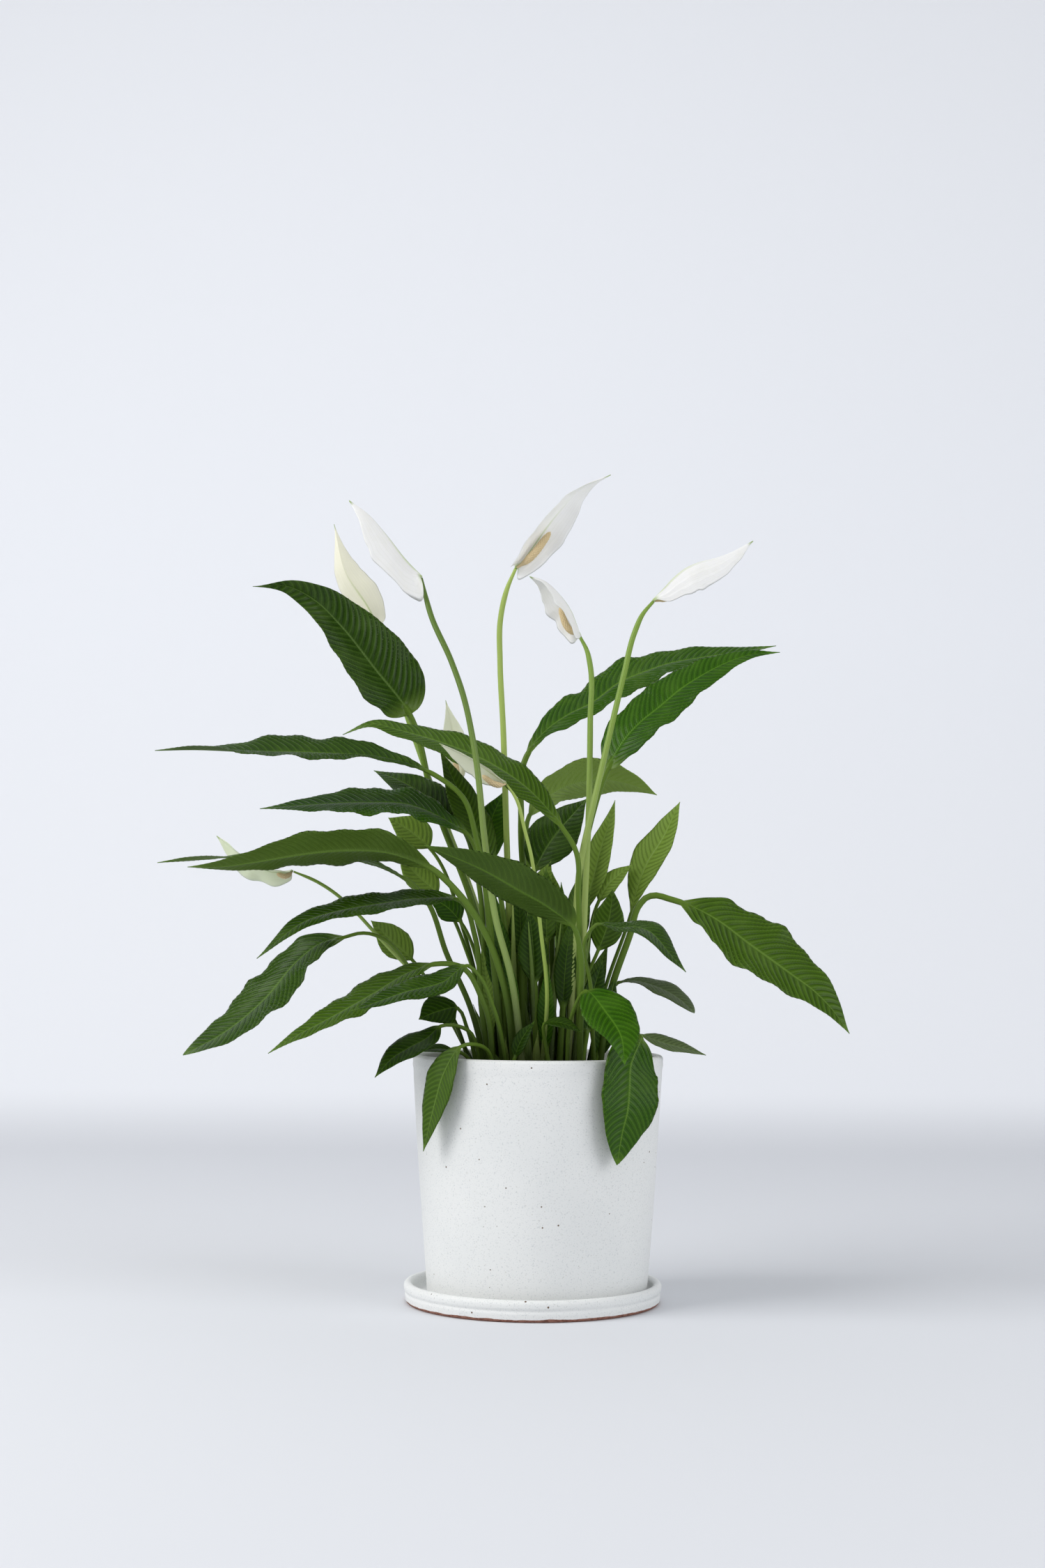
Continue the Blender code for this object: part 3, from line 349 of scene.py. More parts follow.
def shell(name, rings, values, under, material):
    """A closed mesh through rings (stations by points), with a fan to a middle point at each end.

    values holds float attributes by vertex, and under marks the columns of faces on the lower side.
    """
    stations, count = rings.shape[:2]
    verts = rings.reshape(-1, 3)
    quads = grid_faces(stations, count, wrap_columns=True)
    first, last = len(verts), len(verts) + 1
    verts = np.vstack([verts, rings[0].mean(0), rings[-1].mean(0)])
    ring = np.arange(count)
    nearer = np.stack([np.full(count, first), (ring + 1) % count, ring], -1)
    base = (stations - 1) * count
    farther = np.stack([np.full(count, last), base + ring, base + (ring + 1) % count], -1)
    mesh = bpy.data.meshes.new(name)
    mesh.vertices.add(len(verts))
    mesh.vertices.foreach_set("co", verts.astype(np.float32).ravel())
    corners = np.concatenate([quads.ravel(), nearer.ravel(), farther.ravel()])
    sizes = np.concatenate([np.full(len(quads), 4), np.full(2 * count, 3)])
    mesh.loops.add(len(corners))
    mesh.loops.foreach_set("vertex_index", corners.astype(np.int32))
    mesh.polygons.add(len(sizes))
    starts = np.concatenate([[0], np.cumsum(sizes)[:-1]])
    mesh.polygons.foreach_set("loop_start", starts.astype(np.int32))
    mesh.polygons.foreach_set("use_smooth", np.ones(len(sizes), bool))
    mesh.update(calc_edges=True)
    mesh.validate()
    for key, rows in values.items():
        rows = np.broadcast_to(rows, (stations, count))
        full = np.concatenate([rows.ravel(), [np.mean(rows[0]), np.mean(rows[-1])]])
        made = mesh.attributes.new(key, "FLOAT", "POINT")
        made.data.foreach_set("value", full.astype(np.float32))
    lower = np.concatenate([np.broadcast_to(under, (stations - 1, count)).ravel(), np.zeros(2 * count)])
    made = mesh.attributes.new("lower", "FLOAT", "FACE")
    made.data.foreach_set("value", lower.astype(np.float32))
    return finish_piece(name, mesh, material)


def link(name, data):
    """A new object in the scene."""
    made = bpy.data.objects.new(name, data)
    bpy.context.scene.collection.objects.link(made)
    return made


def finish_piece(name, mesh, material, stands_for=None):
    """A piece of the plant or pot: its material, the body it rides on and its solid."""
    mesh.materials.append(material)
    made = link(name, mesh)
    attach(made, "root")
    if stands_for:
        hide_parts(stands_for)
    return made


def lens_ring(quarter):
    """Round a lens anticlockwise: 1 at each edge and 0 at the middle, with the side and upper signs."""
    fall = 1.0 - np.arange(quarter) / quarter
    rise = np.arange(quarter) / quarter
    q = np.concatenate([fall, rise, fall, rise])
    ones = np.ones(quarter)
    side = np.concatenate([ones, -ones, -ones, ones])
    upper = np.concatenate([ones, ones, -ones, -ones])
    return q[None], side[None], upper[None]


def lens_section(q, upper, wide, rib, opened, spread, thickness):
    """Side distance, its share of the half-width, and half-height of a rib's circle that opens into a
    sheet: x = W (circle's sine to the spread), height = the rib's half circle and the sheet together."""
    x = wide * ((1.0 - opened) * np.sin(q * np.pi / 2.0) + opened * spread)
    rounded = np.sqrt(np.clip(rib**2 - x**2, 0.0, None)) * np.where(upper > 0, 1.0 - 0.80 * opened, 1.0)
    sheet = thickness / 2.0 * opened * np.sqrt(np.clip(1.0 - q**8, 0.0, 1.0))
    return x, x / wide, np.hypot(rounded, sheet)


def outline(s, peak, power):
    """Half-width share: s^p by (1 - s)^q, scaled to 1 where s is the peak."""
    s = np.clip(s, 0.0, 1.0)
    rise = power * peak / (1.0 - peak)
    return s**rise * (1.0 - s) ** power / (peak**rise * (1.0 - peak) ** power)


def turned(u, v, degrees, share):
    """The point (u, v) turned about the route by a share of the degrees."""
    angle = np.radians(degrees) * share
    return u * np.cos(angle) - v * np.sin(angle), u * np.sin(angle) + v * np.cos(angle)


def leaf_piece(name, seed, plant, leaf):
    """A petiole that opens into a blade.

    The lens ring is a circle of the petiole's radius below the blade. Along the blade its half-width
    is the outline, its height the fold's rise sin(f)(x - 0.4 x^2 / W), plus side veins as a cosine of
    (length - W g(x / W)) over their spacing, plus a sine wave that grows to the edge. The midrib is a
    semicircle of falling radius under the sheet.
    """
    rng = np.random.default_rng(seed)
    points = grown([(*leaf.root, GAP / MM), *leaf.petiole, *leaf.blade])
    probe = Route(points, leaf.up, 1.0)
    base, end = probe.length_at(1 + len(leaf.petiole)), probe.lengths[-1]
    route = Route(points, leaf.up, (base + 0.4 * (end - base)) / end)
    span, half, stem = end - base, leaf.width * MM / 2.0, leaf.stem
    quarter = int(np.clip(half / plant.across_step, 7, 18))
    below = max(12, int(base / plant.petiole_step))
    along = int(np.clip(span / plant.along_step, 36, 170))
    share = np.linspace(0.0, 1.0, along + 1)
    share = share - 0.045 * np.sin(TURN * share) * 0.5
    lengths = np.concatenate([np.linspace(0.0, base, below, endpoint=False), base + span * share])[:, None]
    s = (lengths - base) / span
    q, side, upper = lens_ring(quarter)
    open_ = smooth(0.0, 0.10, s)
    swell = stem * (1.0 + (ROOT_SWELL - 1.0) * np.clip(-(lengths - base) / base, 0.0, 1.0))
    inside = np.clip(s, 0.0, 1.0)
    ragged = 1.0 + 0.018 * np.sin(inside * 17.0 + rng.uniform(0, 6)) + 0.012 * np.sin(inside * 41.0)
    wide = np.hypot(half * outline(inside, leaf.peak, leaf.tip) * ragged, stem * (1.0 - inside))
    wide = np.where(s < 0.0, swell, wide) + 0.0002 * inside
    rib = np.where(s < 0.0, swell, stem * (1.0 - inside) ** 0.8 * 0.62 + 0.00022)
    rib = rib + (swell - rib) * (1.0 - open_)
    spread = 0.24 * q + 0.76 * q**1.3
    x, eta, body = lens_section(q, upper, wide, rib, open_, spread, plant.blade_thickness)
    spacing = 0.0030 + 0.055 * leaf.width * MM
    travel = (lengths - base) - wide * (0.50 * eta + 0.48 * eta**2)
    phase = travel / spacing + rng.uniform()
    bend = np.radians(leaf.fold)
    rise = wide * math.sin(bend) * (eta - 0.42 * eta**2)
    relief = plant.vein_relief * (half / 0.03) * np.cos(TURN * phase)
    relief = relief * smooth(0.02, 0.25, eta) * (1.0 - 0.7 * smooth(0.85, 1.0, eta)) * (1.0 - inside**4)
    turns = rng.uniform(0.0, 6.28, 4)
    beat = rng.uniform(0.048, 0.070)
    flow = np.sin(TURN * (lengths - base) / beat + turns[0] + side * turns[1])
    flow = flow + 0.6 * np.sin(TURN * (lengths - base) / (beat * 0.44) + turns[2] + side * turns[3])
    ripple = leaf.wave * 1.35 * wide * flow * eta**2.2 * (1.0 - inside**3)
    centre = open_ * (rise + relief + ripple)
    groove = 0.35 * rib * open_ * np.exp(-(x / (0.9 * rib + 1e-6)) ** 2)
    v = centre + upper * body - groove * (upper > 0)
    u = side * x * (1.0 - open_ * (1.0 - math.cos(bend * 0.8)))
    u, v = turned(u, v, leaf.twist, smooth(0.55, 1.0, s))
    values = {"vein": phase, "across": side * eta, "along": np.where(s < 0.0, (lengths - base) / base, s)}
    return shell(name, route.place(lengths, u, v), values, upper < 0, leaf_material(leaf.tone))


def round_ring(rounds):
    """Angles round a tube, as one row."""
    return np.arange(rounds)[None] * TURN / rounds


def tube_piece(name, route, radius, tip, rounds, step, material, ridges=0.0, taper=0.93):
    """A stalk: a circle whose radius falls from the soil up and narrows towards its end, with low
    ridges cos(5a) down its sides."""
    stations = max(24, int(route.lengths[-1] / step))
    length = np.linspace(0.0, route.lengths[-1], stations)[:, None]
    share = length / route.lengths[-1]
    angle = round_ring(rounds)
    size = radius * (1.0 + (ROOT_SWELL - 1.0) * (1.0 - share))
    size = size * (1.0 - (1.0 - tip) * smooth(taper, 1.0, share))
    size = size * (1.0 + ridges * np.cos(5.0 * angle) + 0.012 * np.sin(share * 60.0))
    rings = route.place(length, size * np.cos(angle), size * np.sin(angle))
    values = {"along": share, "across": np.cos(angle), "vein": angle}
    return shell(name, rings, values, np.zeros(rounds), material)


def hood_piece(name, seed, plant, route, flower):
    """A cupped sheet: height is W (0.85 sin(f) x + 0.30 sin(1.5 f) x^2), and its edges hang back past
    the stalk by the hang, which fades as (1 - s)^3 x^2."""
    rng = np.random.default_rng(seed)
    span, half, stem = route.lengths[-1], flower.width * MM / 2.0, flower.radius * 0.6
    quarter = int(np.clip(half / 0.0011, 10, 20))
    along = int(np.clip(span / 0.0013, 40, 110))
    s = np.linspace(0.0, 1.0, along + 1)[:, None]
    q, side, upper = lens_ring(quarter)
    open_ = smooth(0.0, 0.12, s)
    ragged = 1.0 + 0.02 * np.sin(s * 23.0 + rng.uniform(0, 6))
    ragged = ragged + 0.015 * np.sin(s * 47.0 + rng.uniform(0, 6))
    wide = np.hypot(half * outline(s, flower.peak, flower.tip) * ragged, stem * (1.0 - s)) + 0.00025 * s
    rib = stem * (1.0 - s) ** 1.2 * 0.8 + 0.0002
    spread = 0.3 * q + 0.7 * q**1.2
    x, eta, body = lens_section(q, upper, wide, rib, open_, spread, plant.petal_thickness)
    bend = np.radians(flower.fold)
    cup = wide * (0.85 * math.sin(bend) * eta + 0.30 * math.sin(1.5 * bend) * eta**2)
    turns = rng.uniform(0.0, 6.28, 3)
    flow = np.sin(s * 12.0 + turns[0] + side * turns[1]) + 0.5 * np.sin(s * 29.0 + turns[2] + side)
    frill = flower.wave * 2.0 * wide * flow * eta**2 * (1.0 - s**3)
    pleat = 0.00022 * np.cos(eta * 22.0) * (1.0 - s) * smooth(0.1, 0.4, eta)
    centre = open_ * (cup + frill + pleat)
    v = centre + upper * body
    u = side * x * (1.0 - open_ * (1.0 - math.cos(bend)) * (0.7 + 0.3 * eta))
    u, v = turned(u, v, flower.twist, smooth(0.6, 1.0, s))
    length = s * span - flower.hang * MM * eta**2 * (1.0 - s) ** 3 * open_
    values = {"vein": eta * 7.0, "across": side * eta, "along": s}
    return shell(name, route.place(length, u, v), values, upper < 0, hood_material(flower.tone))


def spadix_piece(name, start, ahead, opens, length, plant):
    """A rod with rounded ends whose radius swells at small knobs: cos(9a) cos(2 pi l / pitch)."""
    size = plant.spadix_radius * min(1.0, 0.5 + length / 80.0)
    lift = plant.spadix_lift * min(1.0, 0.7 + length / 60.0)
    rise = np.array([0.0, 0.62, 1.0, 1.0, 0.95]) * lift
    run = np.array([0.0, 0.16, 0.4, 0.75, 1.0]) * length * MM
    middle = [start + a * ahead + b * opens for a, b in zip(run, rise)]
    route = Route(middle, opens, 0.5)
    stations = max(60, int(route.lengths[-1] / 0.00038))
    share = 0.5 - 0.5 * np.cos(np.linspace(0.0, np.pi, stations))[:, None]
    share = 0.5 * share + 0.5 * np.linspace(0.0, 1.0, stations)[:, None]
    far = share * route.lengths[-1]
    angle = round_ring(72)
    shape = np.interp(share, [0.0, 0.1, 0.2, 0.3, 0.6, 0.85, 0.96, 1.0],
                      [0.3, 0.42, 0.8, 1.0, 1.0, 0.85, 0.5, 0.05])
    knobs = np.cos(9.0 * angle + far * 90.0) * np.cos(TURN * far / 0.0031)
    knobs = np.sign(knobs) * np.abs(knobs) ** 0.7
    fade = smooth(0.10, 0.24, share)
    radius = size * shape * (0.90 + 0.15 * knobs * fade)
    rings = route.place(far, radius * np.cos(angle), radius * np.sin(angle))
    values = {"vein": knobs * fade, "along": share, "across": np.cos(angle)}
    return shell(name, rings, values, np.zeros(72), spadix_material())


def flower_pieces(name, seed, plant, flower):
    """Stalk, hood and spadix of one flower, each standing for its solid."""
    stem = Route(grown([(*flower.root, GAP / MM), *flower.stalk]), flower.opens, 1.0)
    thin = flower.radius * 0.45
    skin = stalk_material(flower.skin)
    stalk = tube_piece(name + "_stalk_piece", stem, flower.radius, 0.6, 20, 0.003, skin,
                       0.03)
    end, ahead, front = stem.places[-1], stem.ahead[-1], stem.normals[-1]
    spathe = grown(flower.spathe)
    throat = end + ahead * (GAP + 0.2 * thin) - front * thin * 0.4
    sheet = Route(np.vstack([throat, spathe]), flower.opens, 0.4)
    hood = hood_piece(name + "_spathe_piece", seed, plant, sheet, flower)
    reach = spathe[1] - end
    reach /= np.linalg.norm(reach)
    out = np.asarray(flower.opens, float)
    out -= out.dot(reach) * reach
    out /= np.linalg.norm(out)
    start = end + ahead * (GAP + thin) + front * flower.radius * 0.5
    rod = spadix_piece(name + "_spadix_piece", start, reach, out, flower.spadix, plant)
    for made, solid in ((stalk, "_stalk"), (hood, "_spathe"), (rod, "_spadix")):
        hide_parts(name + solid)


def turned_piece(name, profile, centre_x, turns, wobble, material, stands_for):
    """A closed profile of (radius, height) points spun about an upright axis; the wobble adds
    wobble * sin(3a + 30z) to the radius. Points on the axis close its poles."""
    profile = np.asarray(profile, float)
    angle = round_ring(turns)
    r, z = profile[:, 0:1], profile[:, 1:2]
    r = r + wobble * np.sin(3.0 * angle + 30.0 * z) * smooth(0.0, 0.02, r)
    rings = np.stack([centre_x + r * np.cos(angle), r * np.sin(angle), z + 0.0 * angle], -1)
    quads = grid_faces(len(profile), turns, bool(profile[0, 0] > 1e-6), True)
    mesh = bpy.data.meshes.new(name)
    mesh.from_pydata(rings.reshape(-1, 3).tolist(), [], quads.tolist())
    mend(mesh)
    mesh.shade_smooth()
    return finish_piece(name, mesh, material, stands_for)


def mend(mesh):
    """Merges doubled points at poles and turns every face outwards."""
    body = bmesh.new()
    body.from_mesh(mesh)
    bmesh.ops.remove_doubles(body, verts=body.verts, dist=2e-6)
    bmesh.ops.recalc_face_normals(body, faces=body.faces)
    body.to_mesh(mesh)
    body.free()


def arc(cx, cz, rx, rz, start, stop, steps):
    """Points of an elliptical arc between two angles in degrees."""
    a = np.radians(np.linspace(start, stop, steps))
    return np.stack([cx + rx * np.cos(a), cz + rz * np.sin(a)], -1)


def line(a, b, steps):
    """Evenly spaced points from a to b, without b."""
    t = np.linspace(0.0, 1.0, steps, endpoint=False)[:, None]
    return np.asarray(a) * (1 - t) + np.asarray(b) * t


# Node helpers and finishes


class Nodes:
    """Short ways to add nodes to a tree: each call gives the new node's output socket."""

    def __init__(self, tree):
        self.tree = tree

    def put(self, socket, value):
        if isinstance(value, bpy.types.NodeSocket):
            self.tree.links.new(value, socket)
        else:
            socket.default_value = value

    def add(self, kind, **settings):
        made = self.tree.nodes.new(kind)
        for key, value in settings.items():
            setattr(made, key, value)
        return made

    def math(self, operation, a, b=0.0, c=0.0):
        made = self.add("ShaderNodeMath", operation=operation)
        for socket, value in zip(made.inputs, (a, b, c)):
            self.put(socket, value)
        return made.outputs[0]

    def times(self, a, b):
        return self.math("MULTIPLY", a, b)

    def plus(self, a, b):
        return self.math("ADD", a, b)

    def tinge(self, base, tint, mask, amount=None):
        """The base with a tint laid over it where the mask is 1, as strongly as the amount says."""
        return self.mix(mask if amount is None else self.times(mask, amount), base, tint)

    def height(self):
        made = self.add("ShaderNodeSeparateXYZ")
        self.put(made.inputs[0], self.place())
        return made.outputs["Z"]

    def ramp(self, value, low, high):
        """0 below low, 1 above high, smooth between."""
        made = self.add("ShaderNodeMapRange", interpolation_type="SMOOTHSTEP")
        for key, v in (("Value", value), ("From Min", low), ("From Max", high)):
            self.put(made.inputs[key], v)
        return made.outputs["Result"]

    def mix(self, factor, a, b):
        made = self.add("ShaderNodeMix", data_type="RGBA")
        self.put(made.inputs["Factor"], factor)
        for socket, value in ((made.inputs[6], a), (made.inputs[7], b)):
            self.put(socket, (*value, 1.0) if isinstance(value, tuple) and len(value) == 3 else value)
        return made.outputs[2]

    def blend(self, factor, a, b):
        made = self.add("ShaderNodeMix", data_type="FLOAT")
        for socket, value in ((made.inputs["Factor"], factor), (made.inputs[2], a), (made.inputs[3], b)):
            self.put(socket, value)
        return made.outputs[0]

    def attribute(self, name):
        return self.add("ShaderNodeAttribute", attribute_name=name).outputs["Fac"]

    def place(self):
        return self.add("ShaderNodeTexCoord").outputs["Object"]

    def noise(self, scale, detail=3.0):
        made = self.add("ShaderNodeTexNoise")
        for key, value in (("Vector", self.place()), ("Scale", scale), ("Detail", detail)):
            self.put(made.inputs[key], value)
        return made.outputs["Fac"]

    def grain(self, least, scale, amount):
        """A value from the least upwards, by a noise times the amount."""
        return self.plus(least, self.times(self.noise(scale), amount))

    def cells(self, scale):
        made = self.add("ShaderNodeTexVoronoi")
        self.put(made.inputs["Vector"], self.place())
        made.inputs["Scale"].default_value = scale
        return made

    def group(self, tree, **values):
        made = self.add("ShaderNodeGroup", node_tree=tree)
        for key, value in values.items():
            self.put(made.inputs[key], value)
        return made


def surface_group(name, inputs):
    """A node group with these (name, kind) inputs that puts out a colour, a roughness and a height."""
    tree = bpy.data.node_groups.new(name, "ShaderNodeTree")
    for label, kind in inputs:
        tree.interface.new_socket(name=label, in_out="INPUT", socket_type="NodeSocket" + kind)
    for label, kind in (("Color", "Color"), ("Roughness", "Float"), ("Height", "Float")):
        tree.interface.new_socket(name=label, in_out="OUTPUT", socket_type="NodeSocket" + kind)
    nodes = Nodes(tree)
    return tree, nodes, nodes.add("NodeGroupInput").outputs, nodes.add("NodeGroupOutput").inputs


def leaf_group():
    """Colour, roughness and height of a leaf from its vein, across, along and lower attributes; its colour
    holds painted shade in the grooves between the side veins and down the petiole's foot, and a painted
    highlight on the ridges between the veins.
    """
    if "Leaf Surface" in bpy.data.node_groups:
        return bpy.data.node_groups["Leaf Surface"]
    tree, n, given, out = surface_group("Leaf Surface", [
        ("Upper", "Color"), ("Lower", "Color"), ("Vein", "Color"), ("Stem", "Color"), ("Gloss", "Float")])
    across = n.math("ABSOLUTE", n.attribute("across"))
    along = n.attribute("along")
    lower = n.attribute("lower")
    wave = n.math("COSINE", n.times(n.attribute("vein"), TURN))
    fine = n.math("COSINE", n.times(n.attribute("vein"), 3.0 * TURN))
    side_vein = n.ramp(wave, -0.90, -1.0)
    # Painted shade: the upper side is darkened in the grooves between the side veins.
    furrow_shade = n.times(n.ramp(wave, 0.2, -1.0), n.ramp(across, 0.03, 0.14))
    midrib = n.ramp(across, 0.050, 0.018)
    mottled = n.noise(38.0, 4.0)
    streak = n.noise(260.0, 2.0)
    vein = given["Vein"]
    top = n.tinge(given["Upper"], n.mix(0.5, given["Upper"], (0.004, 0.016, 0.002)), furrow_shade, 0.60)
    # Painted highlight: the ridges between the side veins (wave near 1) are lightened towards the vein
    # colour.
    for mask, amount in ((n.ramp(mottled, 0.45, 0.75), 0.22), (n.ramp(wave, 0.55, 1.0), 0.20),
                         (n.ramp(fine, 0.4, 1.0), 0.05), (n.ramp(across, 0.93, 1.0), 0.35), (midrib, 0.62)):
        top = n.tinge(top, vein, mask, amount)
    under = n.tinge(given["Lower"], vein, side_vein, 0.35)
    under = n.tinge(under, given["Upper"], n.ramp(mottled, 0.35, 0.75), 0.25)
    under = n.tinge(under, vein, n.ramp(across, 0.07, 0.02), 0.75)
    both = n.mix(lower, top, under)
    both = n.tinge(both, vein, n.ramp(along, 0.90, 1.0), 0.6)
    both = n.mix(n.ramp(along, 0.10, 0.0), both, given["Stem"])
    # Painted shade: the petiole darkens towards the soil, down in the shaded crown.
    shaded_foot = n.mix(0.50, given["Stem"], (0.010, 0.022, 0.003))
    both = n.mix(n.ramp(along, -0.35, -0.95), both, shaded_foot)
    grain = n.times(n.math("SUBTRACT", streak, 0.5), 0.10)
    rough = n.plus(n.blend(lower, given["Gloss"], 0.52), grain)
    rough = n.plus(rough, n.times(n.ramp(mottled, 0.5, 0.8), 0.10))
    height = n.times(fine, 0.20)
    height = n.plus(height, n.times(side_vein, -0.9))
    height = n.plus(height, n.times(streak, 0.35))
    height = n.times(height, n.ramp(along, 0.0, 0.08))
    for socket, value in zip(out, (both, rough, height)):
        n.put(socket, value)
    return tree


def principled(name):
    """A new material with a Principled shader; gives the material, its helper and the shader."""
    made = bpy.data.materials.new(name)
    made.use_nodes = True
    nodes = Nodes(made.node_tree)
    return made, nodes, made.node_tree.nodes["Principled BSDF"]


def surface(n, shader, tint, rough, height, strength, distance):
    """Gives a shader its colour and roughness, and relief from a height."""
    bump = n.add("ShaderNodeBump")
    for key, value in (("Height", height), ("Strength", strength), ("Distance", distance)):
        n.put(bump.inputs[key], value)
    for key, value in (("Base Color", tint), ("Roughness", rough), ("Normal", bump.outputs["Normal"])):
        n.put(shader.inputs[key], value)


def known(name):
    """The material of this name, if it is made already."""
    return bpy.data.materials.get(name)


def leaf_material(tone):
    """A leaf's two sides, veins and sheen in one of its tones."""
    name = "leaf_" + tone
    if known(name):
        return known(name)
    finishes = bpy.context.scene.lily_finishes
    upper, lower, vein = (tuple(c * finishes.leaf_shade for c in row) + (1.0,) for row in TONES[tone][:3])
    made, n, shader = principled(name)
    look = n.group(leaf_group(), Upper=upper, Lower=lower, Vein=vein, Stem=(*finishes.petiole_colour, 1.0),
                   Gloss=TONES[tone][3])
    shader.inputs["Specular IOR Level"].default_value = finishes.leaf_gloss
    surface(n, shader, *look.outputs, 0.35, 0.0006)
    return made


def stalk_material(tone):
    """A green that changes up the stalk, with faint lengthwise streaks, pale flecks and painted shade that
    darkens its foot.
    """
    name = "stalk_" + tone
    if known(name):
        return known(name)
    made, n, shader = principled(name)
    low, high = STALK_TONES[tone]
    along = n.attribute("along")
    tint = n.mix(n.ramp(along, 0.25, 0.85), low, high)
    # Painted shade: the lowest part of the stalk darkens towards the soil, down in the shaded crown.
    tint = n.mix(n.ramp(along, 0.30, 0.02), tint, tuple(0.35 * c for c in low))
    streak = n.math("COSINE", n.times(n.attribute("vein"), 14.0))
    tint = n.tinge(tint, (0.42, 0.50, 0.20), n.ramp(streak, 0.0, 1.0), 0.14)
    tint = n.tinge(tint, (0.50, 0.56, 0.28), n.ramp(n.noise(700.0), 0.62, 0.75), 0.18)
    shader.inputs["Specular IOR Level"].default_value = 0.35
    surface(n, shader, tint, n.grain(0.36, 300.0, 0.12), streak, 0.25, 0.0002)
    return made


def hood_material(tone):
    """Thin white petal tissue: faint long veins, a green midrib that fades upwards and a green tip."""
    name = "spathe_" + tone
    if known(name):
        return known(name)
    made, n, shader = principled(name)
    base = HOOD_TONES[tone]
    green = (0.36, 0.47, 0.16)
    across = n.math("ABSOLUTE", n.attribute("across"))
    along = n.attribute("along")
    line_ = n.ramp(n.math("COSINE", n.times(n.attribute("vein"), TURN)), 0.75, 1.0)
    tint = n.tinge(base, tuple(c * f for c, f in zip(base, (0.84, 0.86, 0.78))), line_, 0.22)
    tint = n.tinge(tint, (0.70, 0.68, 0.52), n.ramp(n.noise(60.0), 0.45, 0.75), 0.15)
    rib = n.times(n.ramp(across, 0.10, 0.0), n.ramp(along, 0.75, 0.0))
    tint = n.tinge(tint, green, rib, 0.85)
    tint = n.mix(n.ramp(along, 0.93, 0.99), tint, (0.28, 0.38, 0.14))
    tint = n.mix(n.ramp(along, 0.07, 0.0), tint, green)
    shader.inputs["Subsurface Weight"].default_value = 0.25
    shader.inputs["Subsurface Radius"].default_value = (0.004, 0.004, 0.003)
    shader.inputs["Subsurface Scale"].default_value = 0.6
    relief = n.plus(line_, n.times(n.noise(500.0), 0.5))
    surface(n, shader, tint, n.grain(0.46, 420.0, 0.14), relief, 0.18, 0.0004)
    return made


def spadix_material():
    """Straw-coloured knobs with painted shade darkening the hollows between them and a painted highlight on
    the knob tops.
    """
    if known("spadix"):
        return known("spadix")
    made, n, shader = principled("spadix")
    finishes = bpy.context.scene.lily_finishes
    knob = n.attribute("vein")
    # Painted shade: the hollows between the knobs are darkened towards brown.
    tint = n.mix(n.ramp(knob, -0.9, 0.7), (0.40, 0.27, 0.12), tuple(finishes.spadix_colour))
    # Painted highlight: the tops of the knobs are lightened towards pale cream.
    tint = n.tinge(tint, (0.88, 0.80, 0.60), n.ramp(knob, 0.7, 1.0), 0.6)
    tint = n.mix(n.ramp(n.attribute("along"), 0.16, 0.05), tint, (0.45, 0.52, 0.22))
    surface(n, shader, tint, n.grain(0.60, 900.0, 0.2), n.noise(1400.0), 0.3, 0.0003)
    return made


def glaze_group():
    """Matte off-white glaze: cloudy tone, fine grey stipple, and sparse brown and dark specks."""
    if "Speckled Glaze" in bpy.data.node_groups:
        return bpy.data.node_groups["Speckled Glaze"]
    tree, n, given, out = surface_group("Speckled Glaze", [
        ("Glaze", "Color"), ("Stipple", "Float"), ("Specks", "Float")])
    cloudy = n.noise(14.0, 4.0)
    tint = n.tinge(given["Glaze"], (0.70, 0.72, 0.72), n.ramp(cloudy, 0.40, 0.70), 0.30)
    fine = n.noise(900.0, 3.0)
    tint = n.tinge(tint, (0.48, 0.51, 0.52), n.ramp(fine, 0.56, 0.70), given["Stipple"])
    freckle = n.cells(330.0)
    chosen = n.ramp(freckle.outputs["Color"], 0.66, 0.72)
    dot = n.times(n.ramp(freckle.outputs["Distance"], 0.22, 0.13), chosen)
    tint = n.tinge(tint, (0.42, 0.42, 0.38), dot, n.times(given["Specks"], 0.35))
    speck = n.cells(105.0)
    rare = n.ramp(speck.outputs["Color"], 0.57, 0.59)
    size = n.grain(0.01, 31.0, 0.13)
    spot = n.times(n.math("LESS_THAN", speck.outputs["Distance"], size), rare)
    shade = n.mix(n.noise(23.0), (0.045, 0.035, 0.028), (0.22, 0.13, 0.07))
    tint = n.tinge(tint, shade, spot, given["Specks"])
    rough = n.grain(0.50, 160.0, 0.14)
    rough = n.math("SUBTRACT", rough, n.times(spot, 0.15))
    height = n.plus(n.times(n.noise(240.0, 4.0), 0.6), n.times(fine, 0.25))
    height = n.math("SUBTRACT", height, n.times(spot, 0.5))
    for socket, value in zip(out, (tint, rough, height)):
        n.put(socket, value)
    return tree


def glaze_material(name, foot_height):
    """Glaze over a red-brown clay body that shows below an uneven line near the foot."""
    finishes = bpy.context.scene.lily_finishes
    made, n, shader = principled(name)
    look = n.group(glaze_group(), Glaze=(*finishes.glaze_colour, 1.0), Stipple=0.55, Specks=1.0)
    edge = n.plus(foot_height, n.times(n.math("SUBTRACT", n.noise(70.0), 0.5), 0.0022))
    bare = n.math("LESS_THAN", n.height(), edge)
    clay = n.mix(n.ramp(n.noise(400.0), 0.4, 0.7), tuple(finishes.clay_colour), (0.16, 0.065, 0.045))
    tint, rough, relief = look.outputs
    surface(n, shader, n.mix(bare, tint, clay), n.blend(bare, rough, 0.9), relief, 0.16, 0.0006)
    return made


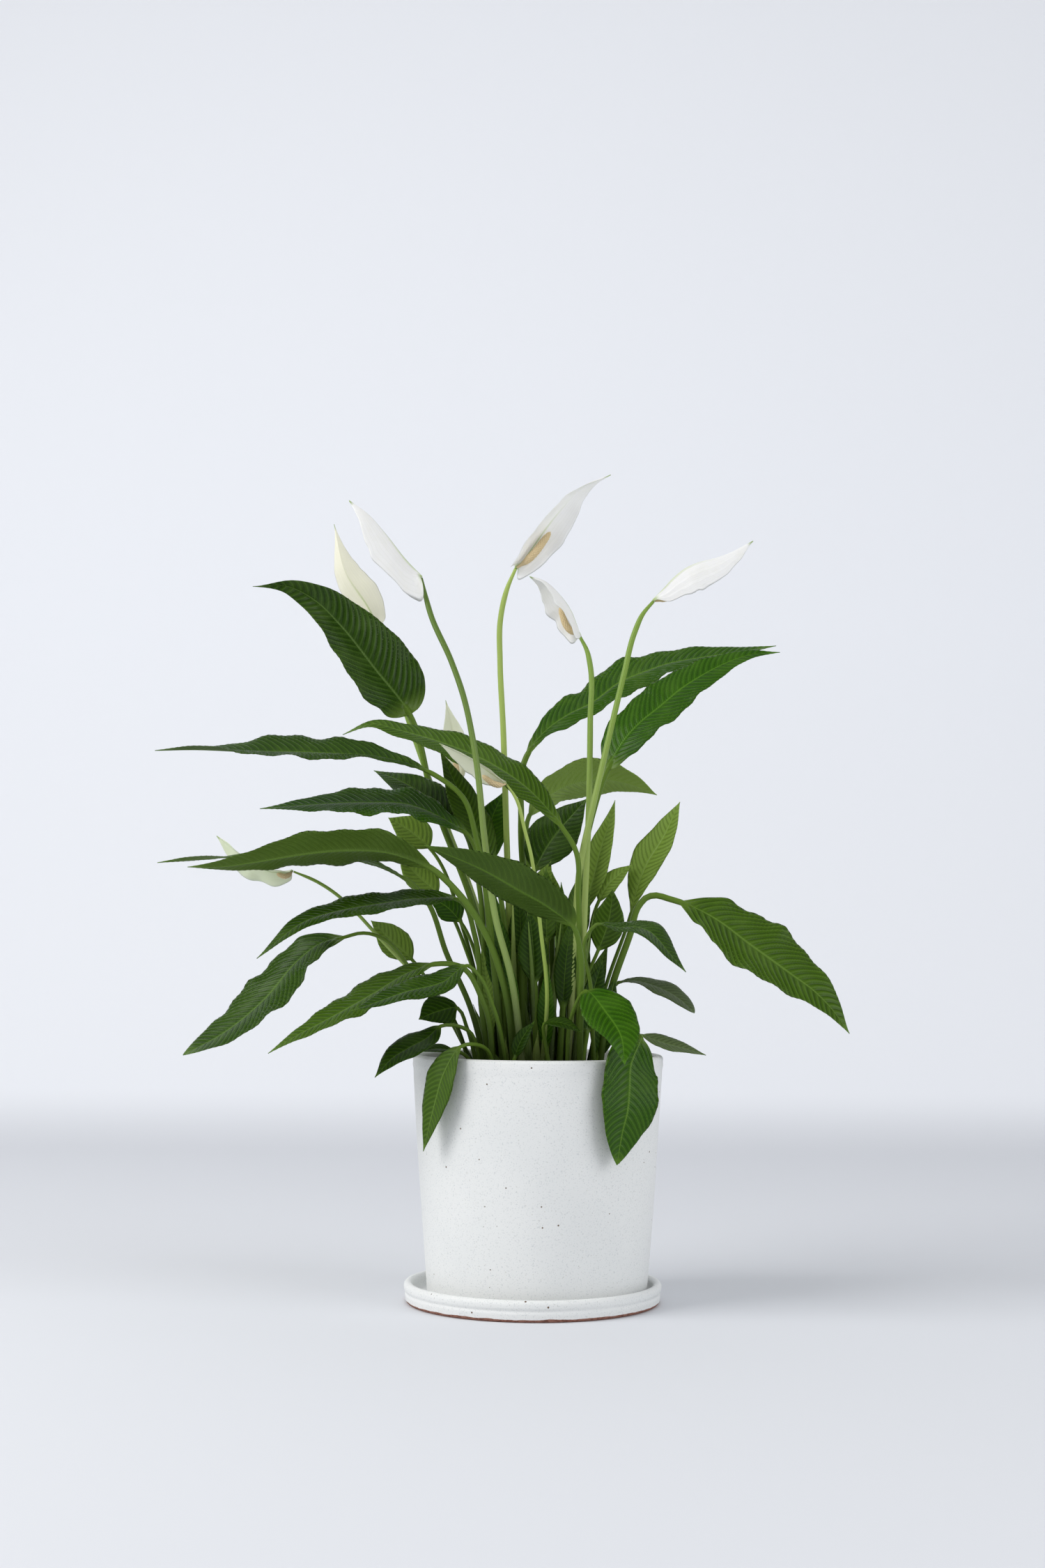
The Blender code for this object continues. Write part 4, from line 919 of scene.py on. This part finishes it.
def soil_material(name, dark, light):
    """Crumbly earth with paler fibres."""
    made, n, shader = principled(name)
    tint = n.mix(n.ramp(n.noise(220.0, 5.0), 0.35, 0.70), dark, light)
    tint = n.tinge(tint, (0.30, 0.24, 0.17), n.ramp(n.cells(420.0).outputs["Color"], 0.88, 0.93), 0.5)
    surface(n, shader, tint, n.grain(0.82, 90.0, 0.15), n.noise(520.0, 5.0), 0.8, 0.0015)
    return made


# Sizes and colours


def colour(label, words, value):
    return FloatVectorProperty(name=label, description=words, default=value, subtype="COLOR", size=3,
                               min=0.0, max=1.0)


def length(label, words, value):
    return FloatProperty(name=label, description=words, default=value, min=0.0, unit="LENGTH", precision=4)


def number(label, words, value, unit="NONE"):
    return FloatProperty(name=label, description=words, default=value, min=0.0, unit=unit)


class LilyPotSizes(bpy.types.PropertyGroup):
    rim_height: length("Rim height", "Top of the pot above the surface it stands on", 0.206)
    rim_radius: length("Rim radius", "Outer radius of the pot at its rim", 0.1058)
    foot_radius: length("Foot radius", "Outer radius of the pot at its foot", 0.092)
    wall: length("Wall", "Thickness of the pot's wall", 0.006)
    floor: length("Floor", "Thickness of the pot's floor", 0.009)
    saucer_height: length("Saucer height", "Top of the saucer's lip", 0.0175)
    saucer_inner: length("Saucer inner radius", "Inner radius of the saucer's lip", 0.101)
    saucer_wall: length("Saucer wall", "Thickness of the saucer's lip", 0.007)
    turns: IntProperty(name="Turns", description="Steps round the turned pieces", default=192, min=24)


class LilyPlantSizes(bpy.types.PropertyGroup):
    blade_thickness: length("Blade thickness", "Thickness of a leaf blade", 0.0006)
    petal_thickness: length("Petal thickness", "Thickness of a hood", 0.0006)
    vein_relief: length("Vein relief", "Height of the side veins on a blade 60 mm wide", 0.00075)
    spadix_radius: length("Spadix radius", "Radius of the largest spadix", 0.0034)
    spadix_lift: length("Spadix lift", "How far a spadix stands off its hood", 0.0072)
    along_step: length("Blade step", "Mesh step along a blade", 0.0014)
    across_step: length("Across step", "Mesh step across half a blade", 0.0020)
    petiole_step: length("Petiole step", "Mesh step along a petiole", 0.005)


class LilyFinishes(bpy.types.PropertyGroup):
    glaze_colour: colour("Glaze", "Colour of the pot's and saucer's glaze", (0.79, 0.80, 0.79))
    clay_colour: colour("Clay", "Bare clay at the saucer's foot", (0.30, 0.14, 0.10))
    soil_colour: colour("Soil", "Moist potting mix", (0.030, 0.019, 0.012))
    petiole_colour: colour("Petiole", "Leaf stalks near the blade", (0.105, 0.180, 0.022))
    spadix_colour: colour("Spadix", "The spadix's knobs", (0.76, 0.62, 0.40))
    leaf_gloss: number("Leaf gloss", "How strongly leaves mirror light", 0.16)
    leaf_shade: number("Leaf shade", "Lightens or darkens every leaf", 1.0)


class LilyStage(bpy.types.PropertyGroup):
    backdrop: colour("Backdrop", "Colour of the floor and the wall behind", (0.71, 0.725, 0.76))
    glow: number("Glow", "How much the backdrop shines by itself", 0.23)
    key: number("Key", "Power of the large light on the left", 56.0, "POWER")
    fill: number("Fill", "Power of the large light on the right", 35.0, "POWER")
    top: number("Top", "Power of the light overhead", 4.0, "POWER")
    air: number("Air", "Strength of the light from all round", 0.46)


# Operators


class MESH_OT_lily_pot(bpy.types.Operator):
    """Turns the tapered pot with its round rim, faint ridge and drainage hole"""

    bl_idname = "mesh.lily_pot"
    bl_label = "Pot"

    def execute(self, context):
        p = context.scene.lily_pot
        half = p.wall / 2.0
        rim = p.rim_height - half
        foot = POT_BASE

        def outer(z):
            """Straight taper with a bulge of 0.6 mm at mid height and a ridge 9 mm below the rim."""
            t = (z - foot) / (p.rim_height - foot)
            ridge = 0.0006 * np.exp(-(((z - (p.rim_height - 0.0095)) / 0.0016) ** 2))
            groove = 0.0004 * np.exp(-(((z - (p.rim_height - 0.0125)) / 0.0014) ** 2))
            straight = p.foot_radius + (p.rim_radius - p.foot_radius) * t
            return straight + 0.0006 * np.sin(np.pi * t) + ridge - groove

        up = np.linspace(foot + 0.003, rim, 70)
        side = np.stack([outer(up), up], -1)
        down = np.linspace(rim, foot + p.floor + 0.004, 24)
        slope = (p.rim_radius - p.foot_radius) / (p.rim_height - foot)
        inner = np.stack([p.foot_radius + slope * (down - foot) - p.wall, down], -1)
        top = arc(outer(np.array(rim)) - half, rim, half, half, 8, 172, 10)
        heel = arc(outer(np.array(foot + 0.003)) - 0.003, foot + 0.003, 0.003, 0.003, -90, -12, 6)
        toe = inner[-1, 0]
        cove = arc(toe - 0.004, foot + p.floor + 0.004, 0.004, 0.004, 0, -90, 6)[1:]
        under = line((0.011, foot), (heel[0, 0], foot), 6)
        floor = line((cove[-1, 0], foot + p.floor), (0.012, foot + p.floor), 6)[1:]
        hole = np.array([(0.012, foot + p.floor), (0.011, foot + p.floor - 0.001), (0.011, foot + 0.001)])
        profile = np.vstack([under, heel, side, top, inner, cove, floor, hole])
        turned_piece("pot_piece", profile, POT_SHIFT, p.turns, 0.00022, glaze_material("pot_glaze", -1.0),
                     "ceramic_pot")
        return {"FINISHED"}


class MESH_OT_lily_saucer(bpy.types.Operator):
    """Turns the saucer: a rolled lip over a groove, a dish and a bare clay foot"""

    bl_idname = "mesh.lily_saucer"
    bl_label = "Saucer"

    def execute(self, context):
        p = context.scene.lily_pot
        inner, wall = p.saucer_inner, p.saucer_wall
        outer = inner + wall
        half = wall / 2.0
        lip = p.saucer_height - half
        up = np.linspace(0.0035, lip, 26)
        groove = 0.0009 * np.exp(-(((up - (lip - 0.0050)) / 0.0016) ** 2))
        lean = 0.0016 * (1.0 - smooth(0.0, lip, up))
        side = np.stack([outer - groove - lean, up], -1)
        heel = arc(side[0, 0] - 0.0030, 0.0035, 0.0030, 0.0035, -90, -10, 6)
        top = arc(outer - half, lip, half, half, 6, 176, 14)
        down = np.linspace(lip, 0.0105, 10)
        dish = np.stack([inner + 0.0 * down, down], -1)
        cove = arc(inner - 0.0035, 0.0105, 0.0035, 0.0035, 0, -90, 7)[1:]
        flat = line((cove[-1, 0], SAUCER_DISH), (0.0, SAUCER_DISH), 14)[1:]
        under = line((0.0, 0.0), (heel[0, 0], 0.0), 14)
        profile = np.vstack([under, heel, side, top, dish, cove, flat, [(0.0, SAUCER_DISH)]])
        turned_piece("saucer_piece", profile, 0.0, p.turns, 0.00025, glaze_material("saucer_glaze", 0.0026),
                     "drip_saucer")
        return {"FINISHED"}


class MESH_OT_lily_soil(bpy.types.Operator):
    """Fills the pot with crumbly soil and scatters loose crumbs on it"""

    bl_idname = "mesh.lily_soil"
    bl_label = "Soil"

    def execute(self, context):
        p = context.scene.lily_pot
        rng = np.random.default_rng(11)
        bottom = POT_BASE + p.floor + 0.0004
        slope = (p.rim_radius - p.foot_radius) / (p.rim_height - POT_BASE)
        clear = p.wall + 0.0006

        def reach(z):
            return p.foot_radius + slope * (z - POT_BASE) - clear

        r = np.concatenate([np.linspace(reach(SOIL_TOP - 0.001), 0.002, 62), [0.0]])
        profile = np.vstack([
            [(0.0, bottom), (0.6 * reach(bottom), bottom), (reach(bottom) - 0.004, bottom)],
            line((reach(bottom), bottom + 0.004), (reach(SOIL_TOP - 0.001), SOIL_TOP - 0.001), 12),
            np.stack([r, np.full(len(r), SOIL_TOP)], -1)])
        dark = tuple(context.scene.lily_finishes.soil_colour)
        earth = soil_material("soil", dark, tuple(2.4 * c for c in dark))
        mesh = turned_piece("soil_piece", profile, POT_SHIFT, 160, 0.0, earth, "potting_soil").data
        co = np.empty(len(mesh.vertices) * 3, np.float32)
        mesh.vertices.foreach_get("co", co)
        co = co.reshape(-1, 3)
        top = co[:, 2] > SOIL_TOP - 0.0005
        bumps = np.zeros(len(co))
        for size, waves in ((0.0009, 60.0), (0.0006, 150.0), (0.0004, 330.0)):
            turn = rng.uniform(0, 6.28, (4, 2))
            bumps += size * sum(np.sin(waves * (co[:, 0] * math.cos(a) + co[:, 1] * math.sin(a)) + b)
                                for a, b in turn) / 2.0
        co[:, 2] = np.where(top, SOIL_TOP - 0.0016 + bumps, co[:, 2])
        mesh.vertices.foreach_set("co", co.ravel())
        mesh.update()
        self.crumbs(rng, reach(SOIL_TOP), dark)
        return {"FINISHED"}

    def crumbs(self, rng, reach, dark):
        """Loose crumbs: an eight-sided stone repeated with its own size, turn and squash."""
        count = CRUMBS + GRIT
        stone = np.array([(1, 0, 0), (0, 1, 0), (-1, 0, 0), (0, -1, 0), (0.6, 0.6, 0.6), (-0.6, 0.6, 0.5),
                          (-0.6, -0.6, 0.6), (0.6, -0.6, 0.5), (0, 0, 0.95), (0, 0, -0.9)], float)
        faces = [(0, 4, 7), (1, 5, 4), (2, 6, 5), (3, 7, 6), (0, 1, 4), (1, 2, 5), (2, 3, 6), (3, 0, 7),
                 (8, 4, 5), (8, 5, 6), (8, 6, 7), (8, 7, 4), (9, 1, 0), (9, 2, 1), (9, 3, 2), (9, 0, 3)]
        angle = rng.uniform(0, TURN, count)
        far = np.sqrt(rng.uniform(0, 1, count)) * (reach - 0.004)
        size = rng.uniform(0.0008, 0.0024, (count, 1, 1)) * rng.uniform(0.7, 1.2, (count, 1, 3))
        spin = rng.uniform(0, TURN, count)
        c, s = np.cos(spin), np.sin(spin)
        turn = np.stack([c, -s, 0 * c, s, c, 0 * c, 0 * c, 0 * c, 1 + 0 * c], -1).reshape(-1, 3, 3)
        verts = (stone[None] * size) @ turn.transpose(0, 2, 1)
        verts = verts * rng.uniform(0.85, 1.15, verts.shape)
        spot = np.stack([POT_SHIFT + far * np.cos(angle), far * np.sin(angle),
                         SOIL_TOP - 0.0006 + 0 * far], -1)
        verts = (verts + spot[:, None]).reshape(-1, 3)
        index = (np.array(faces)[None] + 10 * np.arange(count)[:, None, None]).reshape(-1, 3)
        for name, first, last, tint in (("soil_crumbs", 0, CRUMBS, dark),
                                        ("soil_grit", CRUMBS, count, (0.33, 0.29, 0.23))):
            keep = np.arange(first, last)
            chosen = (index.reshape(count, -1, 3)[keep] - 10 * keep[0]).reshape(-1, 3)
            mesh = bpy.data.meshes.new(name)
            mesh.from_pydata(verts.reshape(count, 10, 3)[keep].reshape(-1, 3).tolist(), [], chosen.tolist())
            mend(mesh)
            earth = soil_material(name, tint, tuple(min(1.0, 1.9 * c) for c in tint))
            finish_piece(name, mesh, earth)


class MESH_OT_lily_leaves(bpy.types.Operator):
    """Grows every leaf that has a solid"""

    bl_idname = "mesh.lily_leaves"
    bl_label = "Leaves"

    def execute(self, context):
        for seed, (name, leaf) in enumerate(LEAVES.items()):
            made = leaf_piece(name, 100 + seed, context.scene.lily_plant, leaf)
            made.name = name + "_piece"
            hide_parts(name)
        return {"FINISHED"}


class MESH_OT_lily_shoots(bpy.types.Operator):
    """Grows the small leaves and young shoots between the stems"""

    bl_idname = "mesh.lily_shoots"
    bl_label = "Shoots"

    def execute(self, context):
        for seed, (name, leaf) in enumerate(SMALL_LEAVES.items()):
            leaf_piece(name, 300 + seed, context.scene.lily_plant, leaf)
        return {"FINISHED"}


class MESH_OT_lily_crown(bpy.types.Operator):
    """Fills the crown with sheaths and rolled young leaves, each a tapered tube that leans outwards"""

    bl_idname = "mesh.lily_crown"
    bl_label = "Crown"

    def execute(self, context):
        rng = np.random.default_rng(77)
        for k in range(CROWN_STEMS):
            tall = k < TALL_STEMS
            turn = rng.uniform(0.0, TURN)
            far = math.sqrt(rng.uniform(0.0, 1.0)) * (34.0 if tall else 46.0)
            root = np.array([CROWN_X + 1.15 * far * math.cos(turn), 0.9 * far * math.sin(turn), 0.3])
            rise = rng.uniform(70.0, 175.0) if tall else rng.uniform(26.0, 62.0)
            lean = np.array([root[0] - CROWN_X, root[1], 0.0]) * (rng.uniform(0.3, 0.9) if tall else 0.25)
            lean = lean + np.append(rng.uniform(-9.0, 9.0, 2), 0.0)
            middle = root + 0.42 * lean + (0.0, 0.0, 0.55 * rise)
            route = Route(grown([root, middle, root + lean + (0.0, 0.0, rise)]), (0.1, -1.0, 0.1), 1.0)
            size = rng.uniform(0.0016, 0.0027) if tall else rng.uniform(0.0026, 0.0042)
            skin = stalk_material("petiole" if k % 3 else "sheath")
            tube_piece("crown_stem_%02d" % k, route, size, 0.06, 14, 0.004, skin, 0.07, 0.45)
        self.young(context.scene.lily_plant, rng)
        return {"FINISHED"}

    def young(self, plant, rng):
        """Half-open young leaves that stand between the stems, lowest outermost."""
        for k in range(YOUNG_LEAVES):
            turn = GOLDEN_ANGLE * k
            far = 8.0 + 30.0 * math.sqrt(1.0 - k / YOUNG_LEAVES)
            x, y = CROWN_X + 1.1 * far * math.cos(turn), 0.9 * far * math.sin(turn)
            foot, long_ = 18.0 + 4.2 * k, rng.uniform(48.0, 82.0)
            out = np.array([math.cos(turn), math.sin(turn)]) * rng.uniform(4.0, 12.0)
            out = out + rng.uniform(-5, 5, 2)
            blade = [(x + out[0] * f, y + out[1] * f, foot + long_ * h)
                     for f, h in ((0.5, 0.0), (0.9, 0.5), (1.7, 1.0))]
            facing = (0.5 * math.cos(turn) + rng.uniform(-0.5, 0.5), -1.0, 0.1)
            petiole = [(x + 0.2 * out[0], y + 0.2 * out[1], 0.5 * foot)]
            tone = ("deep", "green", "fresh", "green", "pale")[k % 5]
            width = rng.uniform(13.0, 27.0)
            leaf = Leaf(tone, (x, y), petiole, blade, width, facing, 20, 0.0024, 0.03)
            leaf_piece("crown_leaf_%02d" % k, 700 + k, plant, leaf)


class MESH_OT_lily_flowers(bpy.types.Operator):
    """Grows the flowers: stalk, hood and spadix"""

    bl_idname = "mesh.lily_flowers"
    bl_label = "Flowers"

    def execute(self, context):
        for seed, (name, flower) in enumerate(FLOWERS.items()):
            flower_pieces(name, 500 + seed, context.scene.lily_plant, flower)
        return {"FINISHED"}


class SCENE_OT_lily_stage(bpy.types.Operator):
    """Sets the seamless pale backdrop, the soft lights and the camera"""

    bl_idname = "scene.lily_stage"
    bl_label = "Stage"

    def execute(self, context):
        stage = context.scene.lily_stage
        sweep = np.vstack([line((-2.6, 0.0), (1.3, 0.0), 10), arc(1.3, 0.9, 0.9, 0.9, -90, 0, 24),
                           line((2.2, 0.95), (2.2, 3.6), 6), [(2.2, 3.6)]])
        wide = np.linspace(-3.4, 3.4, 12)
        y, x = np.meshgrid(sweep[:, 0], wide, indexing="ij")
        z = np.repeat(sweep[:, 1:2], len(wide), 1)
        verts = np.stack([x, y, z], -1).reshape(-1, 3)
        mesh = bpy.data.meshes.new("backdrop")
        mesh.from_pydata(verts.tolist(), [], grid_faces(len(sweep), len(wide)).tolist())
        mesh.shade_smooth()
        paper, n, shader = principled("backdrop_paper")
        shader.inputs["Base Color"].default_value = (*stage.backdrop, 1.0)
        shader.inputs["Roughness"].default_value = 0.95
        shader.inputs["Specular IOR Level"].default_value = 0.1
        shader.inputs["Emission Color"].default_value = (*stage.backdrop, 1.0)
        glow = n.times(n.ramp(n.height(), -0.01, 0.07), stage.glow)
        n.put(shader.inputs["Emission Strength"], glow)
        mesh.materials.append(paper)
        link("backdrop", mesh)
        self.light("key", (-2.1, -1.0, 1.7), 1.8, stage.key, (1.0, 0.995, 0.985))
        self.light("fill", (2.4, -1.6, 1.4), 2.0, stage.fill, (0.97, 0.985, 1.0))
        self.light("top", (-0.3, 0.2, 2.6), 1.8, stage.top, (0.98, 0.99, 1.0))
        world = bpy.data.worlds.new("studio_air")
        context.scene.world = world
        world.use_nodes = True
        sky = world.node_tree.nodes["Background"]
        sky.inputs["Color"].default_value = (0.97, 0.98, 1.0, 1.0)
        n = Nodes(world.node_tree)
        mirrored = n.add("ShaderNodeLightPath").outputs["Is Glossy Ray"]
        seen = n.math("SUBTRACT", 1.0, n.times(mirrored, 0.8))
        n.put(sky.inputs["Strength"], n.times(seen, stage.air))
        lens = bpy.data.cameras.new("camera")
        lens.lens = CAMERA_LENS
        lens.sensor_width = 36.0
        lens.clip_end = 50.0
        camera = link("camera", lens)
        turn = (Matrix.Rotation(math.radians(CAMERA_TILT), 4, "X")
                @ Matrix.Rotation(math.radians(CAMERA_ROLL), 4, "Z"))
        camera.matrix_world = Matrix.Translation(CAMERA_PLACE) @ turn
        context.scene.camera = camera
        context.scene.view_settings.view_transform = "Standard"
        context.scene.view_settings.look = "None"
        return {"FINISHED"}

    def light(self, name, place, size, power, tint):
        """A large square light that faces the middle of the plant."""
        lamp = bpy.data.lights.new(name, "AREA")
        lamp.size = size
        lamp.energy = power
        lamp.color = tint
        toward = (Vector((0.0, 0.0, 0.35)) - Vector(place)).to_track_quat("-Z", "Y")
        link(name, lamp).matrix_world = Matrix.Translation(place) @ toward.to_matrix().to_4x4()


class VIEW3D_PT_lily(bpy.types.Panel):
    bl_label = "Peace Lily"
    bl_space_type = "VIEW_3D"
    bl_region_type = "UI"
    bl_category = "Peace Lily"

    def draw(self, context):
        for operator in OPERATORS:
            self.layout.operator(operator.bl_idname)
        for settings in SETTINGS:
            box = self.layout.box()
            group = getattr(context.scene, settings)
            for key in group.bl_rna.properties.keys():
                if key not in ("rna_type", "name"):
                    box.prop(group, key)


SETTINGS = {"lily_pot": LilyPotSizes, "lily_plant": LilyPlantSizes, "lily_finishes": LilyFinishes,
            "lily_stage": LilyStage}
OPERATORS = (
    MESH_OT_lily_saucer, MESH_OT_lily_pot, MESH_OT_lily_soil, MESH_OT_lily_leaves, MESH_OT_lily_shoots,
    MESH_OT_lily_crown, MESH_OT_lily_flowers, SCENE_OT_lily_stage)
CLASSES = (*SETTINGS.values(), *OPERATORS, VIEW3D_PT_lily)


def register():
    for item in CLASSES:
        bpy.utils.register_class(item)
    for key, group in SETTINGS.items():
        setattr(bpy.types.Scene, key, PointerProperty(type=group))


def unregister():
    for key in SETTINGS:
        delattr(bpy.types.Scene, key)
    for item in reversed(CLASSES):
        bpy.utils.unregister_class(item)


def main():
    register()
    for piece in (bpy.ops.mesh.lily_saucer, bpy.ops.mesh.lily_pot, bpy.ops.mesh.lily_soil,
                  bpy.ops.mesh.lily_leaves, bpy.ops.mesh.lily_shoots, bpy.ops.mesh.lily_crown,
                  bpy.ops.mesh.lily_flowers, bpy.ops.scene.lily_stage):
        piece()


if __name__ == "__main__":
    main()
